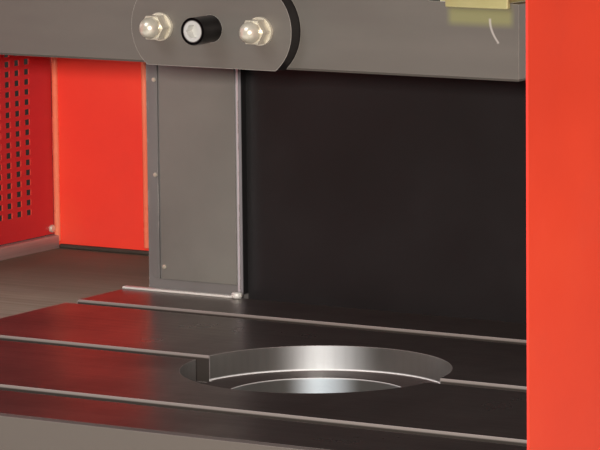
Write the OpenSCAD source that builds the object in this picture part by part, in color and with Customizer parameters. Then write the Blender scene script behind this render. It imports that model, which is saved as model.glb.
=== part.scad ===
// Gap frame power punch press: a C-frame press with a T-slotted bolster, a guided ram with a shank clamp,
// a front-to-back crankshaft, a rear flywheel and side guards around the work zone.
// Millimetres, +Z up, X to the right, Y to the rear.
// The origin is on the floor, straight below the axis of the ram and of the bolster's drop hole.

/* [Frame] */
// Height of the bolster's working face above the floor
work_height = 900; // [880:5:940]
// Height of the side frames
frame_height = 2450; // [2400:10:2550]
// Clear width between the two side frames
frame_gap = 580; // [576:1:600]
// Thickness of a side frame at its rim
cheek_t = 105; // [95:1:120]
// Thickness of the web left behind the side frame's pockets
cheek_web = 50; // [40:1:60]
// Width of the rim round each pocket
cheek_rim = 60; // [50:1:75]
// Ram axis back to the face of the throat
throat_depth = 330; // [320:1:360]
// Height of the throat above the bed
throat_height = 490; // [480:1:520]
// Ram axis forward to the front of the bed
bed_front = 260; // [240:1:290]
// Ram axis forward to the front edge of the crown
crown_front = 165; // [160:1:190]
// Ram axis back to the rear of the frame
frame_back = 760; // [740:1:800]
// Width of a foot outside its side frame
foot_w = 75; // [70:1:90]
// Thickness of the feet
foot_t = 40; // [30:1:50]
// Length of one foot
foot_len = 300; // [260:1:320]
// Height of the clearance under the frame between the feet
foot_arch = 25; // [15:1:30]
// Diameter of a floor anchor hole
anchor_d = 28; // [22:1:34]

/* [Bolster] */
// Width of the bolster
bolster_w = 792; // [740:1:796]
// Ram axis forward to the bolster's front edge
bolster_front = 296; // [280:1:320]
// Ram axis back to the bolster's rear edge
bolster_back = 292; // [280:1:310]
// Thickness of the bolster
bolster_t = 100; // [80:1:110]
// Distance from one T-slot to the next
slot_pitch = 200; // [180:1:220]
// Width of a T-slot's neck
slot_neck_w = 22; // [18:1:28]
// Depth of a T-slot's neck
slot_neck_d = 24; // [23:1:30]
// Width of a T-slot's head
slot_head_w = 37; // [32:1:46]
// Height of a T-slot's head
slot_head_h = 16; // [12:1:20]
// Diameter of the drop hole
drop_d = 158; // [120:1:180]
// Diameter of the ring seat round the drop hole
seat_d = 231; // [220:1:250]
// Depth of the ring seat
seat_depth = 22; // [12:1:22]

/* [Bed] */
// Thickness of the bed's top plate
bed_plate_t = 70; // [60:1:90]
// Thickness of the bed's upright walls
bed_wall_t = 40; // [30:1:50]
// Diameter of the drop hole in the bed's top plate
bed_hole_d = 300; // [240:1:310]
// Width of the scrap windows in the bed's walls
scrap_w = 300; // [260:1:340]
// Height of the scrap windows
scrap_h = 260; // [220:1:280]

/* [Ram] */
// Bolster face to the bottom of the ram, at the top of its stroke
daylight = 270; // [250:1:290]
// Travel of the ram
stroke = 100; // [80:1:110]
// Width of the ram's body
ram_w = 392; // [380:1:400]
// Width of the ram's bottom flange
ram_flange_w = 552; // [540:1:560]
// Thickness of the ram's bottom flange
ram_flange_t = 60; // [50:1:70]
// Height of the ram
ram_h = 480; // [460:1:500]
// Ram axis forward to the ram's front face
ram_front = 142; // [138:1:150]
// Ram axis back to the ram's rear face
ram_back = 150; // [140:1:160]
// Diameter of the shank hole
shank_d = 50; // [40:1:60]
// Radius of the shank clamp's round ends
clamp_r = 40; // [36:1:42]
// Distance from the axis to the centre of each round end
clamp_half = 37; // [34:1:42]
// Ram bottom up to the clamp's centre line
clamp_z = 31.5; // [30:0.5:35]
// How far the shank clamp stands out of the ram's face
clamp_proud = 13; // [8:1:18]
// Distance from the axis to each clamp stud
stud_x = 48; // [46:1:54]
// Diameter of the clamp studs
stud_d = 12; // [10:1:14]
// Size of the domed clamp nuts across their flats
nut_af = 19; // [18:1:20]
// Diameter of the jack screw between the studs
jack_d = 22; // [18:1:24]
// How far the jack screw stands out of the clamp
jack_proud = 26; // [20:1:40]

/* [Drive] */
// Ball of the adjusting screw above the ram's bottom
ball_rise = 240; // [235:1:250]
// Radius of the adjusting screw's ball
ball_r = 50; // [46:1:52]
// Room under the ball for the rod's straight-line stand-in motion
ball_room = 12; // [12:1:16]
// Thickness of the ball's thrust pad
pad_t = 25; // [20:1:30]
// Radius of the adjusting screw's thread
screw_r = 35; // [30:1:40]
// Distance from the ball to the crank pin
rod_len = 460; // [440:1:480]
// Radius of the crank pin
pin_r = 65; // [60:1:70]
// Radius of the crank's journals
journal_r = 55; // [50:1:60]
// Radius of the crankshaft's rear stretch
shaft_r = 45; // [40:1:50]
// Wall of a crank bush
bush_t = 10; // [8:1:14]
// Radius of the flywheel
flywheel_r = 400; // [380:1:410]
// Width of the flywheel's rim
flywheel_w = 110; // [100:1:130]
// Radius of the motor pulley
pulley_r = 90; // [80:1:100]
// Number of V-belts
belts = 4; // [3:1:5]
// Motor axis above the floor
motor_z = 1125; // [1120:1:1150]
// Radius of the motor's casing
motor_r = 125; // [115:1:130]

/* [Guards] */
// Ram axis out to a side guard's outer face
guard_x = 640; // [630:1:660]
// Ram axis forward to a side guard's front edge
guard_front = 788; // [740:1:800]
// Ram axis back to the rear guard plate's face
guard_back = 515; // [510:1:530]
// Height of the guards above the bolster's face
guard_h = 750; // [700:1:780]
// Thickness of the guards' sheet
sheet_t = 3; // [2:0.5:3]
// Width of a side guard's solid front border
guard_border_front = 150; // [130:1:180]
// Width of its rear border
guard_border_rear = 44; // [40:1:60]
// Width of its bottom border
guard_border_low = 26; // [22:1:40]
// How far the wing tables lie below the bolster's face
table_drop = 6; // [4:1:10]

/* [Fits] */
// Radial clearance of a shaft in its bearing
running = 0.05; // [0.03:0.01:0.1]
// Gap between pieces that move past each other
gap = 0.5; // [0.3:0.1:0.8]
// Radial clearance of a bolt in its hole
bolt_gap = 0.2; // [0.1:0.1:0.5]

/* [Hidden] */
$fn = 64;

frame_grey = [0.46, 0.43, 0.40];
steel_grey = [0.50, 0.47, 0.43];
guard_red = [0.87, 0.22, 0.16];
soft_black = [0.13, 0.13, 0.13];
bright = [0.75, 0.75, 0.74];
zinc_yellow = [0.72, 0.68, 0.45];
bronze = [0.70, 0.52, 0.27];

bed_top = work_height - bolster_t;
throat_top = bed_top + throat_height;
cheek_in = frame_gap / 2;
cheek_out = cheek_in + cheek_t;
throat_r = throat_depth - bolster_back - 2;
crown_r = 35;
pocket_r = 40;
slope_z = 190;
slope_y = 130;
anchor_x = cheek_out + foot_w / 2 + 5;
anchor_front = -bed_front + 80;
anchor_rear = frame_back - 80;

ram_z = work_height + daylight;
ram_top = ram_z + ram_h;
ball_z = ram_z + ball_rise;
crank_r = stroke / 2;
crank_z = ball_z + rod_len - crank_r;
pin_z = crank_z + crank_r;

crown_plate_t = 60;
crown_plate_z = throat_top + 40;
crown_plate_top = frame_height - 30;
wall_t = 60;
wall_front = 240;
wall_z = throat_top + 40;
wall_top = frame_height - 60;
rear_wall_top = frame_height - slope_z - 20;
boss_r = journal_r + bush_t + 50;
boss_len = 40;
pin_half = 60;
web_t = 38;
rear_wall_front = frame_back - wall_t;

frame_bolt_r = 12;
frame_bolt_head_r = 18;
frame_bolt_head_h = 24;
gib_bolt_r = 8;
gib_bolt_head_r = 12;
gib_bolt_head_h = 16;
bolster_bolt_x = 220;
bolster_bolt_y = 200;
bolster_bolt_grip = 45;

// Bed.
bed_rib_x = bed_hole_d / 2 + 5;
bed_rib_t = 20;
bed_low = 40;
scrap_z = bed_top / 2 - scrap_h / 2 - 20;

// Bolster.
bolster_half = bolster_w / 2;
edge_chamfer = 2;

// Frame bolts.
crown_bolt_z = [for (i = [0:4]) crown_plate_z + 60 + i * (crown_plate_top - crown_plate_z - 120) / 4];
crown_bolt_x = cheek_in + cheek_rim / 2;
crown_bolt_grip = 50;
crown_face = -crown_front - crown_plate_t;

// Crown.
quill_r = 75;
quill_bore = shaft_r + 7;
quill_spigot = quill_r - 5;
quill_flange_r = quill_r + 55;
quill_flange_t = 25;
cover_t = 8;
cover_back = frame_back - slope_y;
eye_shank_r = 15;
eye_x = cheek_in + cheek_t / 2;
eye_y = [-crown_front + 60, cover_back - 60];

// Throat back plate.
back_plate_set = 14;
back_plate_t = 6;

// Gibs.
gib_y = 40;
gib_half = 55;
vee = 28;
gib_bottom = throat_top + 12;
gib_top = ram_top + 30;
gib_bolt_low = throat_top + cheek_rim + 40;
gib_bolt_z = [for (i = [0:3]) gib_bolt_low + i * (gib_top - 40 - gib_bolt_low) / 3];
gib_bolt_grip = 60;
ram_half = ram_w / 2;

// Crankshaft and flywheel.
dial_step = 12;
dial_t = 6;
pointer_r = 22;
shaft_front = crown_face - 44;
fly_y = frame_back + quill_flange_t + 15;
shaft_end = fly_y + flywheel_w + 100;
dial_r = boss_r + 20;
bearing_r = quill_r + 20;
bearing_w = 30;

// Flywheel and clutch.
groove_w = 17;
groove_d = 14;
fly_rim_in = flywheel_r - 65;
fly_hub_r = bearing_r + 40;
clutch_r = 180;
clutch_y = fly_y + flywheel_w + 12;

// Connecting rod.
rod_half_y = pin_half - 1;
big_r = pin_r + 36;
cap_bolt_x = pin_r + 20;
cap_bolt_r = 9;
boss_low = ball_z + ball_r + 75;
rod_foot_r = screw_r + 18;
cavity_x = rod_foot_r + crank_r + 8;
cavity_y = rod_half_y + 7;
screw_in = 130;
cap_shoulder = 28;

// Ram and shank clamp.
cavity_floor = ball_z - ball_r - ball_room - pad_t;
knock_y = ram_back - 33;
knock_t = 24;
knock_h = 40;
knock_travel = 40;
knock_z = ram_z + ram_flange_t + 50;
ear_x = ram_half + 40;
ear_y = -ram_front + 30;
ear_half = 30;
ear_h = 70;
rod_tail_r = 8.5;
stud_grip = 34;
clamp_face = -ram_front - clamp_proud;
nut_h = 11;
dome_r = 8.7;
dome_h = 11;
washer_t = 2.5;

// Counterbalance.
rod_r = 12;
cyl_r = 36;
cyl_wall = 5;
cyl_bottom = throat_top + 110;
cyl_len = 300;

// Motor.
shelf_top = motor_z - motor_r - 25;
motor_front = throat_depth + 90;
motor_back = frame_back - 60;
rotor_r = 19;

// V-belts and their guard.
belt_t = 11;
belt_w = 8;
guard_margin = 45;
belt_guard_back = fly_y + flywheel_w + 130;

// Work zone.
table_top = work_height - table_drop;
table_t = 8;
table_out = guard_x - sheet_t - 3;
table_in = max(cheek_out, bolster_half) + 4;
table_back = guard_back;
guard_low = work_height;
guard_top = work_height + guard_h;
hinge_r = 8;
hinge_pin_r = 4;
hinge_x = guard_x + hinge_r;
hinge_y = guard_back - 4;
hinge_len = 40;
hinge_z = [guard_low + 90, guard_top - 170];
guard_rear = hinge_y - hinge_r;
cells_y = 14;
cells_z = 8;
cell_bar = 12;

// Electric cabinet.
cab_x = [-cheek_out - 240, -cheek_out];
cab_y = [guard_back + 45, guard_back + 445];
cab_z = [work_height + 10, work_height + 660];
door_t = 20;
cab_hinge_x = cab_x[0] - door_t - 6;
cab_hinge_y = cab_y[1] + 6;
cab_hinge_r = 6;
cab_hinge_len = 30;
cab_hinge_z = [cab_z[0] + 90, cab_z[1] - 150];
switch_y = (cab_y[0] + cab_y[1]) / 2;
switch_z = cab_z[1] - 120;
handle_y = cab_y[0] + 40;
handle_z = (cab_z[0] + cab_z[1]) / 2;

// Air tank and lubricator.
tank_r = 110;
tank_x = cheek_out + 25 + tank_r;
tank_y = frame_back - 95;
tank_z = [work_height + 180, work_height + 700];
lube_z = 520;

// Two-hand console.
con_top = bed_top - 60;
con_h = 150;
con_d = 150;
con_half = 360;
con_front = -bed_front - con_d;
palm_x = con_half - 75;
palm_y = -bed_front - con_d / 2;
palm_stem_r = 12;
stop_z = con_top - con_h / 2;
stop_x = 70;

// Round and square helpers.

module block(x, y, z) {
    translate([x[0], y[0], z[0]]) cube([x[1] - x[0], y[1] - y[0], z[1] - z[0]]);
}

module rod_y(r, y0, y1) {
    translate([0, y0, 0]) rotate([-90, 0, 0]) cylinder(r = r, h = y1 - y0);
}

module rod_x(r, x0, x1) {
    translate([x0, 0, 0]) rotate([0, 90, 0]) cylinder(r = r, h = x1 - x0);
}

module ring_y(r_out, r_in, y0, y1) {
    difference() {
        rod_y(r_out, y0, y1);
        rod_y(r_in, y0 - 1, y1 + 1);
    }
}

module both_sides() {
    children();
    mirror([1, 0, 0]) children();
}

// A flat outline drawn in Y and Z, given a thickness along X from x0.
module plate_yz(x0, t) {
    translate([x0, 0, 0]) rotate([90, 0, 90]) linear_extrude(t) children();
}

// A flat outline drawn in X and Z, given a thickness along Y from y0.
module plate_xz(y0, t) {
    translate([0, y0 + t, 0]) rotate([90, 0, 0]) linear_extrude(t) children();
}

// The square-cornered sliver between a corner and its arc: it fills an inner corner or rounds an outer one.
module corner(r) {
    difference() {
        square(r);
        translate([r, r]) circle(r);
    }
}

module rounded_rect(x, y, r) {
    difference() {
        translate([x[0], y[0]]) square([x[1] - x[0], y[1] - y[0]]);
        translate([x[0], y[0]]) corner(r);
        translate([x[1], y[0]]) mirror([1, 0]) corner(r);
        translate([x[0], y[1]]) mirror([0, 1]) corner(r);
        translate([x[1], y[1]]) mirror([1, 0]) mirror([0, 1]) corner(r);
    }
}

// A 45 degree chamfer of leg c along an edge that runs in X or in Y.
module chamfer_x(y, z, c, half) {
    translate([0, y, z]) rotate([45, 0, 0]) cube([2 * half, c * sqrt(2), c * sqrt(2)], center = true);
}

module chamfer_y(x, z, c, half) {
    translate([x, 0, z]) rotate([0, 45, 0]) cube([c * sqrt(2), 2 * half, c * sqrt(2)], center = true);
}

module cap_screw(r, head_r, head_h, len) {
    difference() {
        union() {
            translate([0, 0, -head_h]) cylinder(r = head_r, h = head_h);
            translate([0, 0, -0.01]) cylinder(r = r, h = len);
        }
        translate([0, 0, -head_h - 1]) cylinder(r = r * 0.85, h = head_h * 0.5 + 1, $fn = 6);
    }
}

// Side frames: ribbed C-shaped castings with a foot front and rear.

module cheek_outline() {
    difference() {
        union() {
            polygon([[-bed_front, 0], [frame_back, 0], [frame_back, frame_height - slope_z],
                [frame_back - slope_y, frame_height], [-crown_front, frame_height],
                [-crown_front, throat_top], [throat_depth, throat_top], [throat_depth, bed_top],
                [-bed_front, bed_top]]);
            translate([throat_depth, bed_top]) mirror([1, 0]) corner(throat_r);
            translate([throat_depth, throat_top]) mirror([1, 0]) mirror([0, 1]) corner(throat_r);
        }
        translate([-crown_front, throat_top]) corner(crown_r);
        translate([-bed_front + foot_len, -1])
            square([frame_back + bed_front - 2 * foot_len, foot_arch + 1]);
    }
}

module cheek_pockets() {
    bed_mid = (frame_back - bed_front) / 2;
    low = foot_t + cheek_rim / 2;
    high = bed_top - cheek_rim;
    rounded_rect([-bed_front + cheek_rim, bed_mid - cheek_rim / 2], [low, high], pocket_r);
    rounded_rect([bed_mid + cheek_rim / 2, frame_back - cheek_rim], [low, high], pocket_r);
    rounded_rect([throat_depth + cheek_rim, frame_back - cheek_rim], [bed_top, throat_top], pocket_r);
    rounded_rect([-crown_front + cheek_rim, frame_back - cheek_rim],
        [throat_top + cheek_rim, frame_height - slope_z - cheek_rim / 2], pocket_r);
}

module foot(y0) {
    gusset_t = 12;
    block([cheek_out - 1, cheek_out + foot_w], [y0, y0 + foot_len], [0, foot_t]);
    for (y = [y0 + foot_len / 2 - 70, y0 + foot_len / 2 + 70 - gusset_t])
        translate([0, y + gusset_t, 0]) rotate([90, 0, 0]) linear_extrude(gusset_t)
            polygon([[cheek_out - 1, foot_t - 1], [cheek_out + foot_w - 10, foot_t - 1],
                [cheek_out - 1, foot_t + 90]]);
}

module side_frame() {
    color(frame_grey)
    difference() {
        union() {
            plate_yz(cheek_in, cheek_t) cheek_outline();
            foot(-bed_front);
            foot(frame_back - foot_len);
        }
        plate_yz(cheek_in + cheek_web, cheek_t) cheek_pockets();
        for (y = [anchor_front, anchor_rear])
            translate([anchor_x, y, -1]) cylinder(d = anchor_d, h = foot_t + 2);
        crown_bolt_holes();
        gib_bolt_holes();
    }
}

module side_frame_left() {
    mirror([1, 0, 0]) side_frame();
}

module side_frame_right() {
    side_frame();
}

// Bed: top plate, walls and ribs welded between the side frames.

module bed() {
    under = bed_top - bed_plate_t;
    color(frame_grey)
    difference() {
        union() {
            block([-cheek_in, cheek_in], [-bed_front, throat_depth], [under, bed_top]);
            block([-cheek_in, cheek_in], [-bed_front, -bed_front + bed_wall_t], [0, under + 1]);
            block([-cheek_in, cheek_in], [throat_depth - bed_wall_t, throat_depth], [bed_low, under + 1]);
            block([-cheek_in, cheek_in], [-bed_front, throat_depth - bed_wall_t + 1], [0, bed_low + 1]);
            both_sides()
                block([bed_rib_x, bed_rib_x + bed_rib_t],
                    [-bed_front + bed_wall_t - 1, throat_depth - bed_wall_t + 1], [scrap_z - 60, under + 1]);
        }
        translate([0, 0, under - 1]) cylinder(d = bed_hole_d, h = bed_plate_t + 2);
        plate_xz(-bed_front - 1, throat_depth + bed_front + 2)
            rounded_rect([-scrap_w / 2, scrap_w / 2], [scrap_z, scrap_z + scrap_h], 30);
        bolster_bolt_holes();
    }
}

// Bolster: ground plate with three T-slots and a stepped drop hole.

module t_slot(x0, x1) {
    head_top = work_height - slot_neck_d;
    block([x0, x1], [-slot_neck_w / 2, slot_neck_w / 2], [head_top, work_height + 1]);
    block([x0, x1], [-slot_head_w / 2, slot_head_w / 2], [head_top - slot_head_h, head_top + 0.01]);
}

module bolster() {
    color(steel_grey)
    difference() {
        block([-bolster_half, bolster_half], [-bolster_front, bolster_back], [bed_top, work_height]);
        for (y = [-slot_pitch, slot_pitch])
            translate([0, y, 0]) t_slot(-bolster_half - 1, bolster_half + 1);
        both_sides() t_slot(seat_d / 2 - 3, bolster_half + 1);
        translate([0, 0, bed_top - 1]) cylinder(d = drop_d, h = bolster_t + 2, $fn = 128);
        translate([0, 0, work_height - seat_depth]) cylinder(d = seat_d, h = seat_depth + 1, $fn = 128);
        chamfer_x(-bolster_front, work_height, edge_chamfer, bolster_half + 1);
        chamfer_x(bolster_back, work_height, edge_chamfer, bolster_half + 1);
        both_sides() chamfer_y(bolster_half, work_height, edge_chamfer, bolster_front + 1);
        bolster_bolt_holes();
    }
}

// Frame bolts: cap screws that hold the crown's front plate, and the bolster from below.

module at_crown_bolts() {
    for (z = crown_bolt_z)
        translate([crown_bolt_x, 0, z]) children();
}

module crown_bolt_holes() {
    at_crown_bolts() rod_y(frame_bolt_r + bolt_gap, crown_face - 1, -crown_front + crown_bolt_grip + 2);
}

module at_bolster_bolts() {
    for (x = [-bolster_bolt_x, bolster_bolt_x], y = [-bolster_bolt_y, bolster_bolt_y])
        translate([x, y, 0]) children();
}

module bolster_bolt_holes() {
    at_bolster_bolts()
        translate([0, 0, bed_top - bed_plate_t - 1])
            cylinder(r = frame_bolt_r + bolt_gap, h = bed_plate_t + bolster_bolt_grip + 2);
}

module frame_bolts() {
    color(soft_black) {
        both_sides() at_crown_bolts()
            translate([0, crown_face, 0]) rotate([-90, 0, 0])
                cap_screw(frame_bolt_r, frame_bolt_head_r, frame_bolt_head_h,
                    crown_plate_t + crown_bolt_grip);
        at_bolster_bolts()
            translate([0, 0, bed_top - bed_plate_t])
                cap_screw(frame_bolt_r, frame_bolt_head_r, frame_bolt_head_h,
                    bed_plate_t + bolster_bolt_grip);
    }
}

// Crown: front plate and two bearing walls for the crankshaft, and a top cover.

module crown_front_plate() {
    boss_face = crown_face - dial_step;
    color(frame_grey)
    difference() {
        union() {
            plate_xz(crown_face, crown_plate_t)
                rounded_rect([-cheek_out, cheek_out], [crown_plate_z, crown_plate_top], 30);
            translate([0, 0, crank_z]) rod_y(boss_r, boss_face, -crown_front + boss_len);
        }
        translate([0, 0, crank_z])
            rod_y(journal_r + bush_t + running, boss_face - 1, -crown_front + boss_len + 1);
        both_sides() crown_bolt_holes();
    }
}

module bearing_wall(y0, hole_r, top) {
    window_r = 55;
    window_x = cheek_in - 120;
    color(frame_grey)
    difference() {
        union() {
            block([-cheek_in, cheek_in], [y0, y0 + wall_t], [wall_z, top]);
            translate([0, 0, crank_z]) rod_y(boss_r, y0 - boss_len, y0 + 1);
            both_sides()
                block([cheek_in - 60, cheek_in - 40], [y0 - boss_len, y0 + 1], [wall_z + 30, top - 30]);
        }
        translate([0, 0, crank_z]) rod_y(hole_r, y0 - boss_len - 1, y0 + wall_t + 1);
        both_sides() for (z = [wall_z + 2 * window_r, top - 2 * window_r])
            translate([window_x, 0, z]) rod_y(window_r, y0 - 1, y0 + wall_t + 1);
    }
}

module crank_wall() {
    bearing_wall(wall_front, journal_r + bush_t + running, wall_top);
}

module rear_wall() {
    bearing_wall(rear_wall_front, quill_spigot + running, rear_wall_top);
}

module crown_top_cover() {
    color(frame_grey) {
        difference() {
            block([-cheek_out, cheek_out], [crown_face, cover_back],
                [frame_height, frame_height + cover_t]);
            both_sides() for (y = eye_y)
                translate([eye_x, y, frame_height - 1]) cylinder(r = eye_shank_r + bolt_gap, h = cover_t + 2);
        }
        block([-cheek_out, cheek_out], [crown_face, crown_face + cover_t],
            [crown_plate_top, frame_height + 0.01]);
        plate_yz(-cheek_out, 2 * cheek_out)
            polygon([[cover_back, frame_height], [frame_back, frame_height - slope_z],
                [frame_back, frame_height - slope_z + cover_t], [cover_back, frame_height + cover_t]]);
    }
}

module lifting_eye() {
    ring_r = 27;
    wire_r = 9;
    collar_h = 12;
    cylinder(r = eye_shank_r + 11, h = collar_h);
    cylinder(r = eye_shank_r, h = collar_h + 18);
    translate([0, 0, collar_h + ring_r + wire_r + 2])
        rotate([90, 0, 0]) rotate_extrude() translate([ring_r, 0]) circle(wire_r, $fn = 24);
}

module lifting_eyes() {
    color(soft_black)
    both_sides() for (y = eye_y)
        translate([eye_x, y, frame_height + cover_t]) lifting_eye();
}

// Black plate that closes the throat between the side frames, just behind their faces.

module throat_back_plate() {
    y0 = throat_depth + back_plate_set;
    z = [bed_top - 20, throat_top + 30];
    color(soft_black) {
        block([-cheek_in, cheek_in], [y0, y0 + back_plate_t], z);
        both_sides()
            block([cheek_in - back_plate_t, cheek_in], [y0 + back_plate_t - 0.01, y0 + 40], z);
    }
}

// Gibs: V-shaped ways on the side frames that guide the ram.

module gib() {
    face = ram_half + gap;
    color(steel_grey)
    difference() {
        translate([0, gib_y, gib_bottom]) linear_extrude(gib_top - gib_bottom)
            polygon([[face, -gib_half], [cheek_in, -gib_half], [cheek_in, gib_half], [face, gib_half],
                [face, vee], [face - vee, 0], [face, -vee]]);
        gib_bolt_holes();
    }
}

module gib_left() {
    mirror([1, 0, 0]) gib();
}

module gib_right() {
    gib();
}

module at_gib_bolts() {
    for (z = gib_bolt_z)
        translate([cheek_in + cheek_web, gib_y, z]) rotate([0, -90, 0]) children();
}

module gib_bolt_holes() {
    at_gib_bolts()
        translate([0, 0, -1]) cylinder(r = gib_bolt_r + bolt_gap, h = cheek_web + gib_bolt_grip + 3);
}

module gib_bolts() {
    color(soft_black)
    both_sides() at_gib_bolts()
        cap_screw(gib_bolt_r, gib_bolt_head_r, gib_bolt_head_h, cheek_web + gib_bolt_grip);
}

// Crankshaft, its bushes, and the dial and pointer that show its angle.

module crank_bushes() {
    color(bronze)
    translate([0, 0, crank_z]) {
        ring_y(journal_r + bush_t, journal_r + running, crown_face - dial_step + 2, -crown_front + boss_len);
        ring_y(journal_r + bush_t, journal_r + running, wall_front - boss_len, wall_front + wall_t);
    }
}

module crankshaft() {
    color(bright)
    translate([0, 0, crank_z]) {
        rod_y(pointer_r, shaft_front, shaft_front + 31);
        rod_y(journal_r, shaft_front + 30, -pin_half - 1);
        rod_y(journal_r, pin_half + 1, wall_front + wall_t + 4);
        rod_y(shaft_r, wall_front + wall_t, shaft_end);
        translate([0, 0, crank_r]) rod_y(pin_r, -pin_half - 1, pin_half + 1);
        for (y = [-pin_half - web_t, pin_half])
            translate([0, 0, crank_r / 2]) rod_y(pin_r + crank_r / 2 + 12, y, y + web_t);
    }
}

module angle_dial() {
    boss_face = crown_face - dial_step;
    color(bright)
    translate([0, 0, crank_z]) ring_y(dial_r, journal_r + bush_t + 4, boss_face - dial_t, boss_face);
}

module angle_pointer() {
    back = crown_face - dial_step - dial_t - 3;
    color(guard_red)
    translate([0, 0, crank_z])
    difference() {
        union() {
            rod_y(pointer_r + 12, back - 8, back);
            translate([0, back, 0]) rotate([90, 0, 0]) linear_extrude(6)
                polygon([[-9, 0], [9, 0], [2, dial_r - 8], [-2, dial_r - 8]]);
        }
        rod_y(pointer_r + running, back - 9, back + 1);
    }
}

// Rear drive: the quill bolted to the rear wall, the flywheel on it, and the clutch and brake on the shaft's end.

module flywheel_quill() {
    tube_end = fly_y + flywheel_w + 4;
    color(frame_grey)
    translate([0, 0, crank_z])
    difference() {
        union() {
            rod_y(quill_spigot, rear_wall_front, frame_back + 1);
            rod_y(quill_flange_r, frame_back, frame_back + quill_flange_t);
            rod_y(quill_r, frame_back + quill_flange_t - 1, tube_end);
        }
        rod_y(quill_bore, rear_wall_front - 1, tube_end + 1);
        for (a = [0:45:315])
            rotate([0, a, 0]) translate([quill_r + 32, 0, 0])
                rod_y(9, frame_back + quill_flange_t - 10, frame_back + quill_flange_t + 1);
    }
}

module flywheel_bearings() {
    color(bright)
    translate([0, 0, crank_z])
        for (y = [fly_y, fly_y + flywheel_w - bearing_w])
            ring_y(bearing_r, quill_r + running, y, y + bearing_w);
}

// Outline of a V-grooved rim in radius and height, for the flywheel and the pulley.
function groove_y(i) = flywheel_w * (i + 0.5) / belts;

function groove_points(r) = [for (i = [0:belts - 1], p = [[0, -groove_w / 2],
    [-groove_d, -groove_w / 4], [-groove_d, groove_w / 4], [0, groove_w / 2]])
    [r + p[0], groove_y(i) + p[1]]];

module grooved_rim(r, r_in) {
    polygon(concat([[r_in, 0], [r, 0]], groove_points(r), [[r, flywheel_w], [r_in, flywheel_w]]));
}

module flywheel() {
    web_half = 15;
    color(steel_grey)
    translate([0, fly_y, crank_z]) rotate([-90, 0, 0])
    difference() {
        rotate_extrude($fn = 128) {
            grooved_rim(flywheel_r, fly_rim_in);
            translate([fly_hub_r - 1, flywheel_w / 2 - web_half])
                square([fly_rim_in - fly_hub_r + 2, 2 * web_half]);
            translate([bearing_r + running, 0]) square([fly_hub_r - bearing_r - running, flywheel_w]);
        }
        for (a = [0:60:300])
            rotate([0, 0, a]) translate([(fly_hub_r + fly_rim_in) / 2, 0, -1])
                cylinder(r = 58, h = flywheel_w + 2);
    }
}

module clutch_brake() {
    bore = shaft_r + running;
    color(soft_black)
    translate([0, clutch_y, crank_z]) rotate([-90, 0, 0])
    difference() {
        rotate_extrude($fn = 96)
            polygon([[bore, 0], [clutch_r, 0], [clutch_r, 18], [clutch_r - 10, 18],
                [clutch_r - 10, 26], [clutch_r, 26], [clutch_r, 44], [clutch_r - 40, 50],
                [clutch_r - 60, 76], [bore, 76]]);
        for (a = [0:30:330])
            rotate([0, 0, a]) translate([clutch_r - 22, 0, 44]) cylinder(r = 7, h = 20);
    }
}

// Connecting rod: big end and cap on the crank pin, cap bolts, and the ball screw that sets the ram's height.

module rod_profile() {
    difference() {
        union() {
            translate([0, pin_z]) circle(big_r);
            translate([-big_r, pin_z - 34]) square([2 * big_r, 34 + cap_shoulder]);
            polygon([[-rod_foot_r, boss_low], [rod_foot_r, boss_low], [rod_foot_r, boss_low + 80],
                [big_r - 12, pin_z - 60], [big_r - 12, pin_z - 30], [-big_r + 12, pin_z - 30],
                [-big_r + 12, pin_z - 60], [-rod_foot_r, boss_low + 80]]);
        }
        translate([0, pin_z]) circle(pin_r + running, $fn = 96);
    }
}

module cap_bolt_holes() {
    both_sides() translate([cap_bolt_x, 0, pin_z - 60])
        cylinder(r = cap_bolt_r + bolt_gap, h = 60 + big_r);
}

module connecting_rod() {
    color(frame_grey)
    difference() {
        intersection() {
            plate_xz(-rod_half_y, 2 * rod_half_y) rod_profile();
            block([-big_r - 1, big_r + 1], [-rod_half_y - 1, rod_half_y + 1], [boss_low - 1, pin_z]);
        }
        translate([0, 0, boss_low - 1]) cylinder(r = screw_r + running, h = screw_in + 11);
        cap_bolt_holes();
        for (y = [-rod_half_y - 1, rod_half_y - 14])
            plate_xz(y, 15) rounded_rect([-22, 22], [boss_low + 60, pin_z - pin_r - 24], 14);
    }
}

module rod_cap() {
    color(frame_grey)
    difference() {
        intersection() {
            plate_xz(-rod_half_y, 2 * rod_half_y) rod_profile();
            block([-big_r - 1, big_r + 1], [-rod_half_y - 1, rod_half_y + 1], [pin_z, pin_z + big_r + 1]);
        }
        cap_bolt_holes();
        both_sides()
            block([cap_bolt_x - 16, big_r + 1], [-rod_half_y - 1, rod_half_y + 1],
                [pin_z + cap_shoulder - 1, pin_z + big_r + 2]);
    }
}

module rod_bolts() {
    color(soft_black)
    both_sides() translate([cap_bolt_x, 0, pin_z + cap_shoulder - 1]) mirror([0, 0, 1])
        cap_screw(cap_bolt_r, 14, 16, cap_shoulder + 50);
}

module adjusting_screw() {
    color(bright)
    difference() {
        union() {
            translate([0, 0, ball_z]) sphere(ball_r);
            translate([0, 0, ball_z]) cylinder(r = screw_r - 6, h = boss_low - ball_z);
            translate([0, 0, ball_z + ball_r + 8]) cylinder(r = screw_r + 14, h = 40, $fn = 8);
            translate([0, 0, boss_low - 12]) cylinder(r = screw_r, h = screw_in + 12);
        }
        translate([0, 0, ball_z + ball_r + 28]) both_sides() rod_x(8, 20, 60);
    }
}

module ball_pad() {
    color(bronze)
    translate([0, 0, cavity_floor]) cylinder(r = ball_r + 8, h = pad_t);
}

// Ram with its shank clamp.

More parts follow.
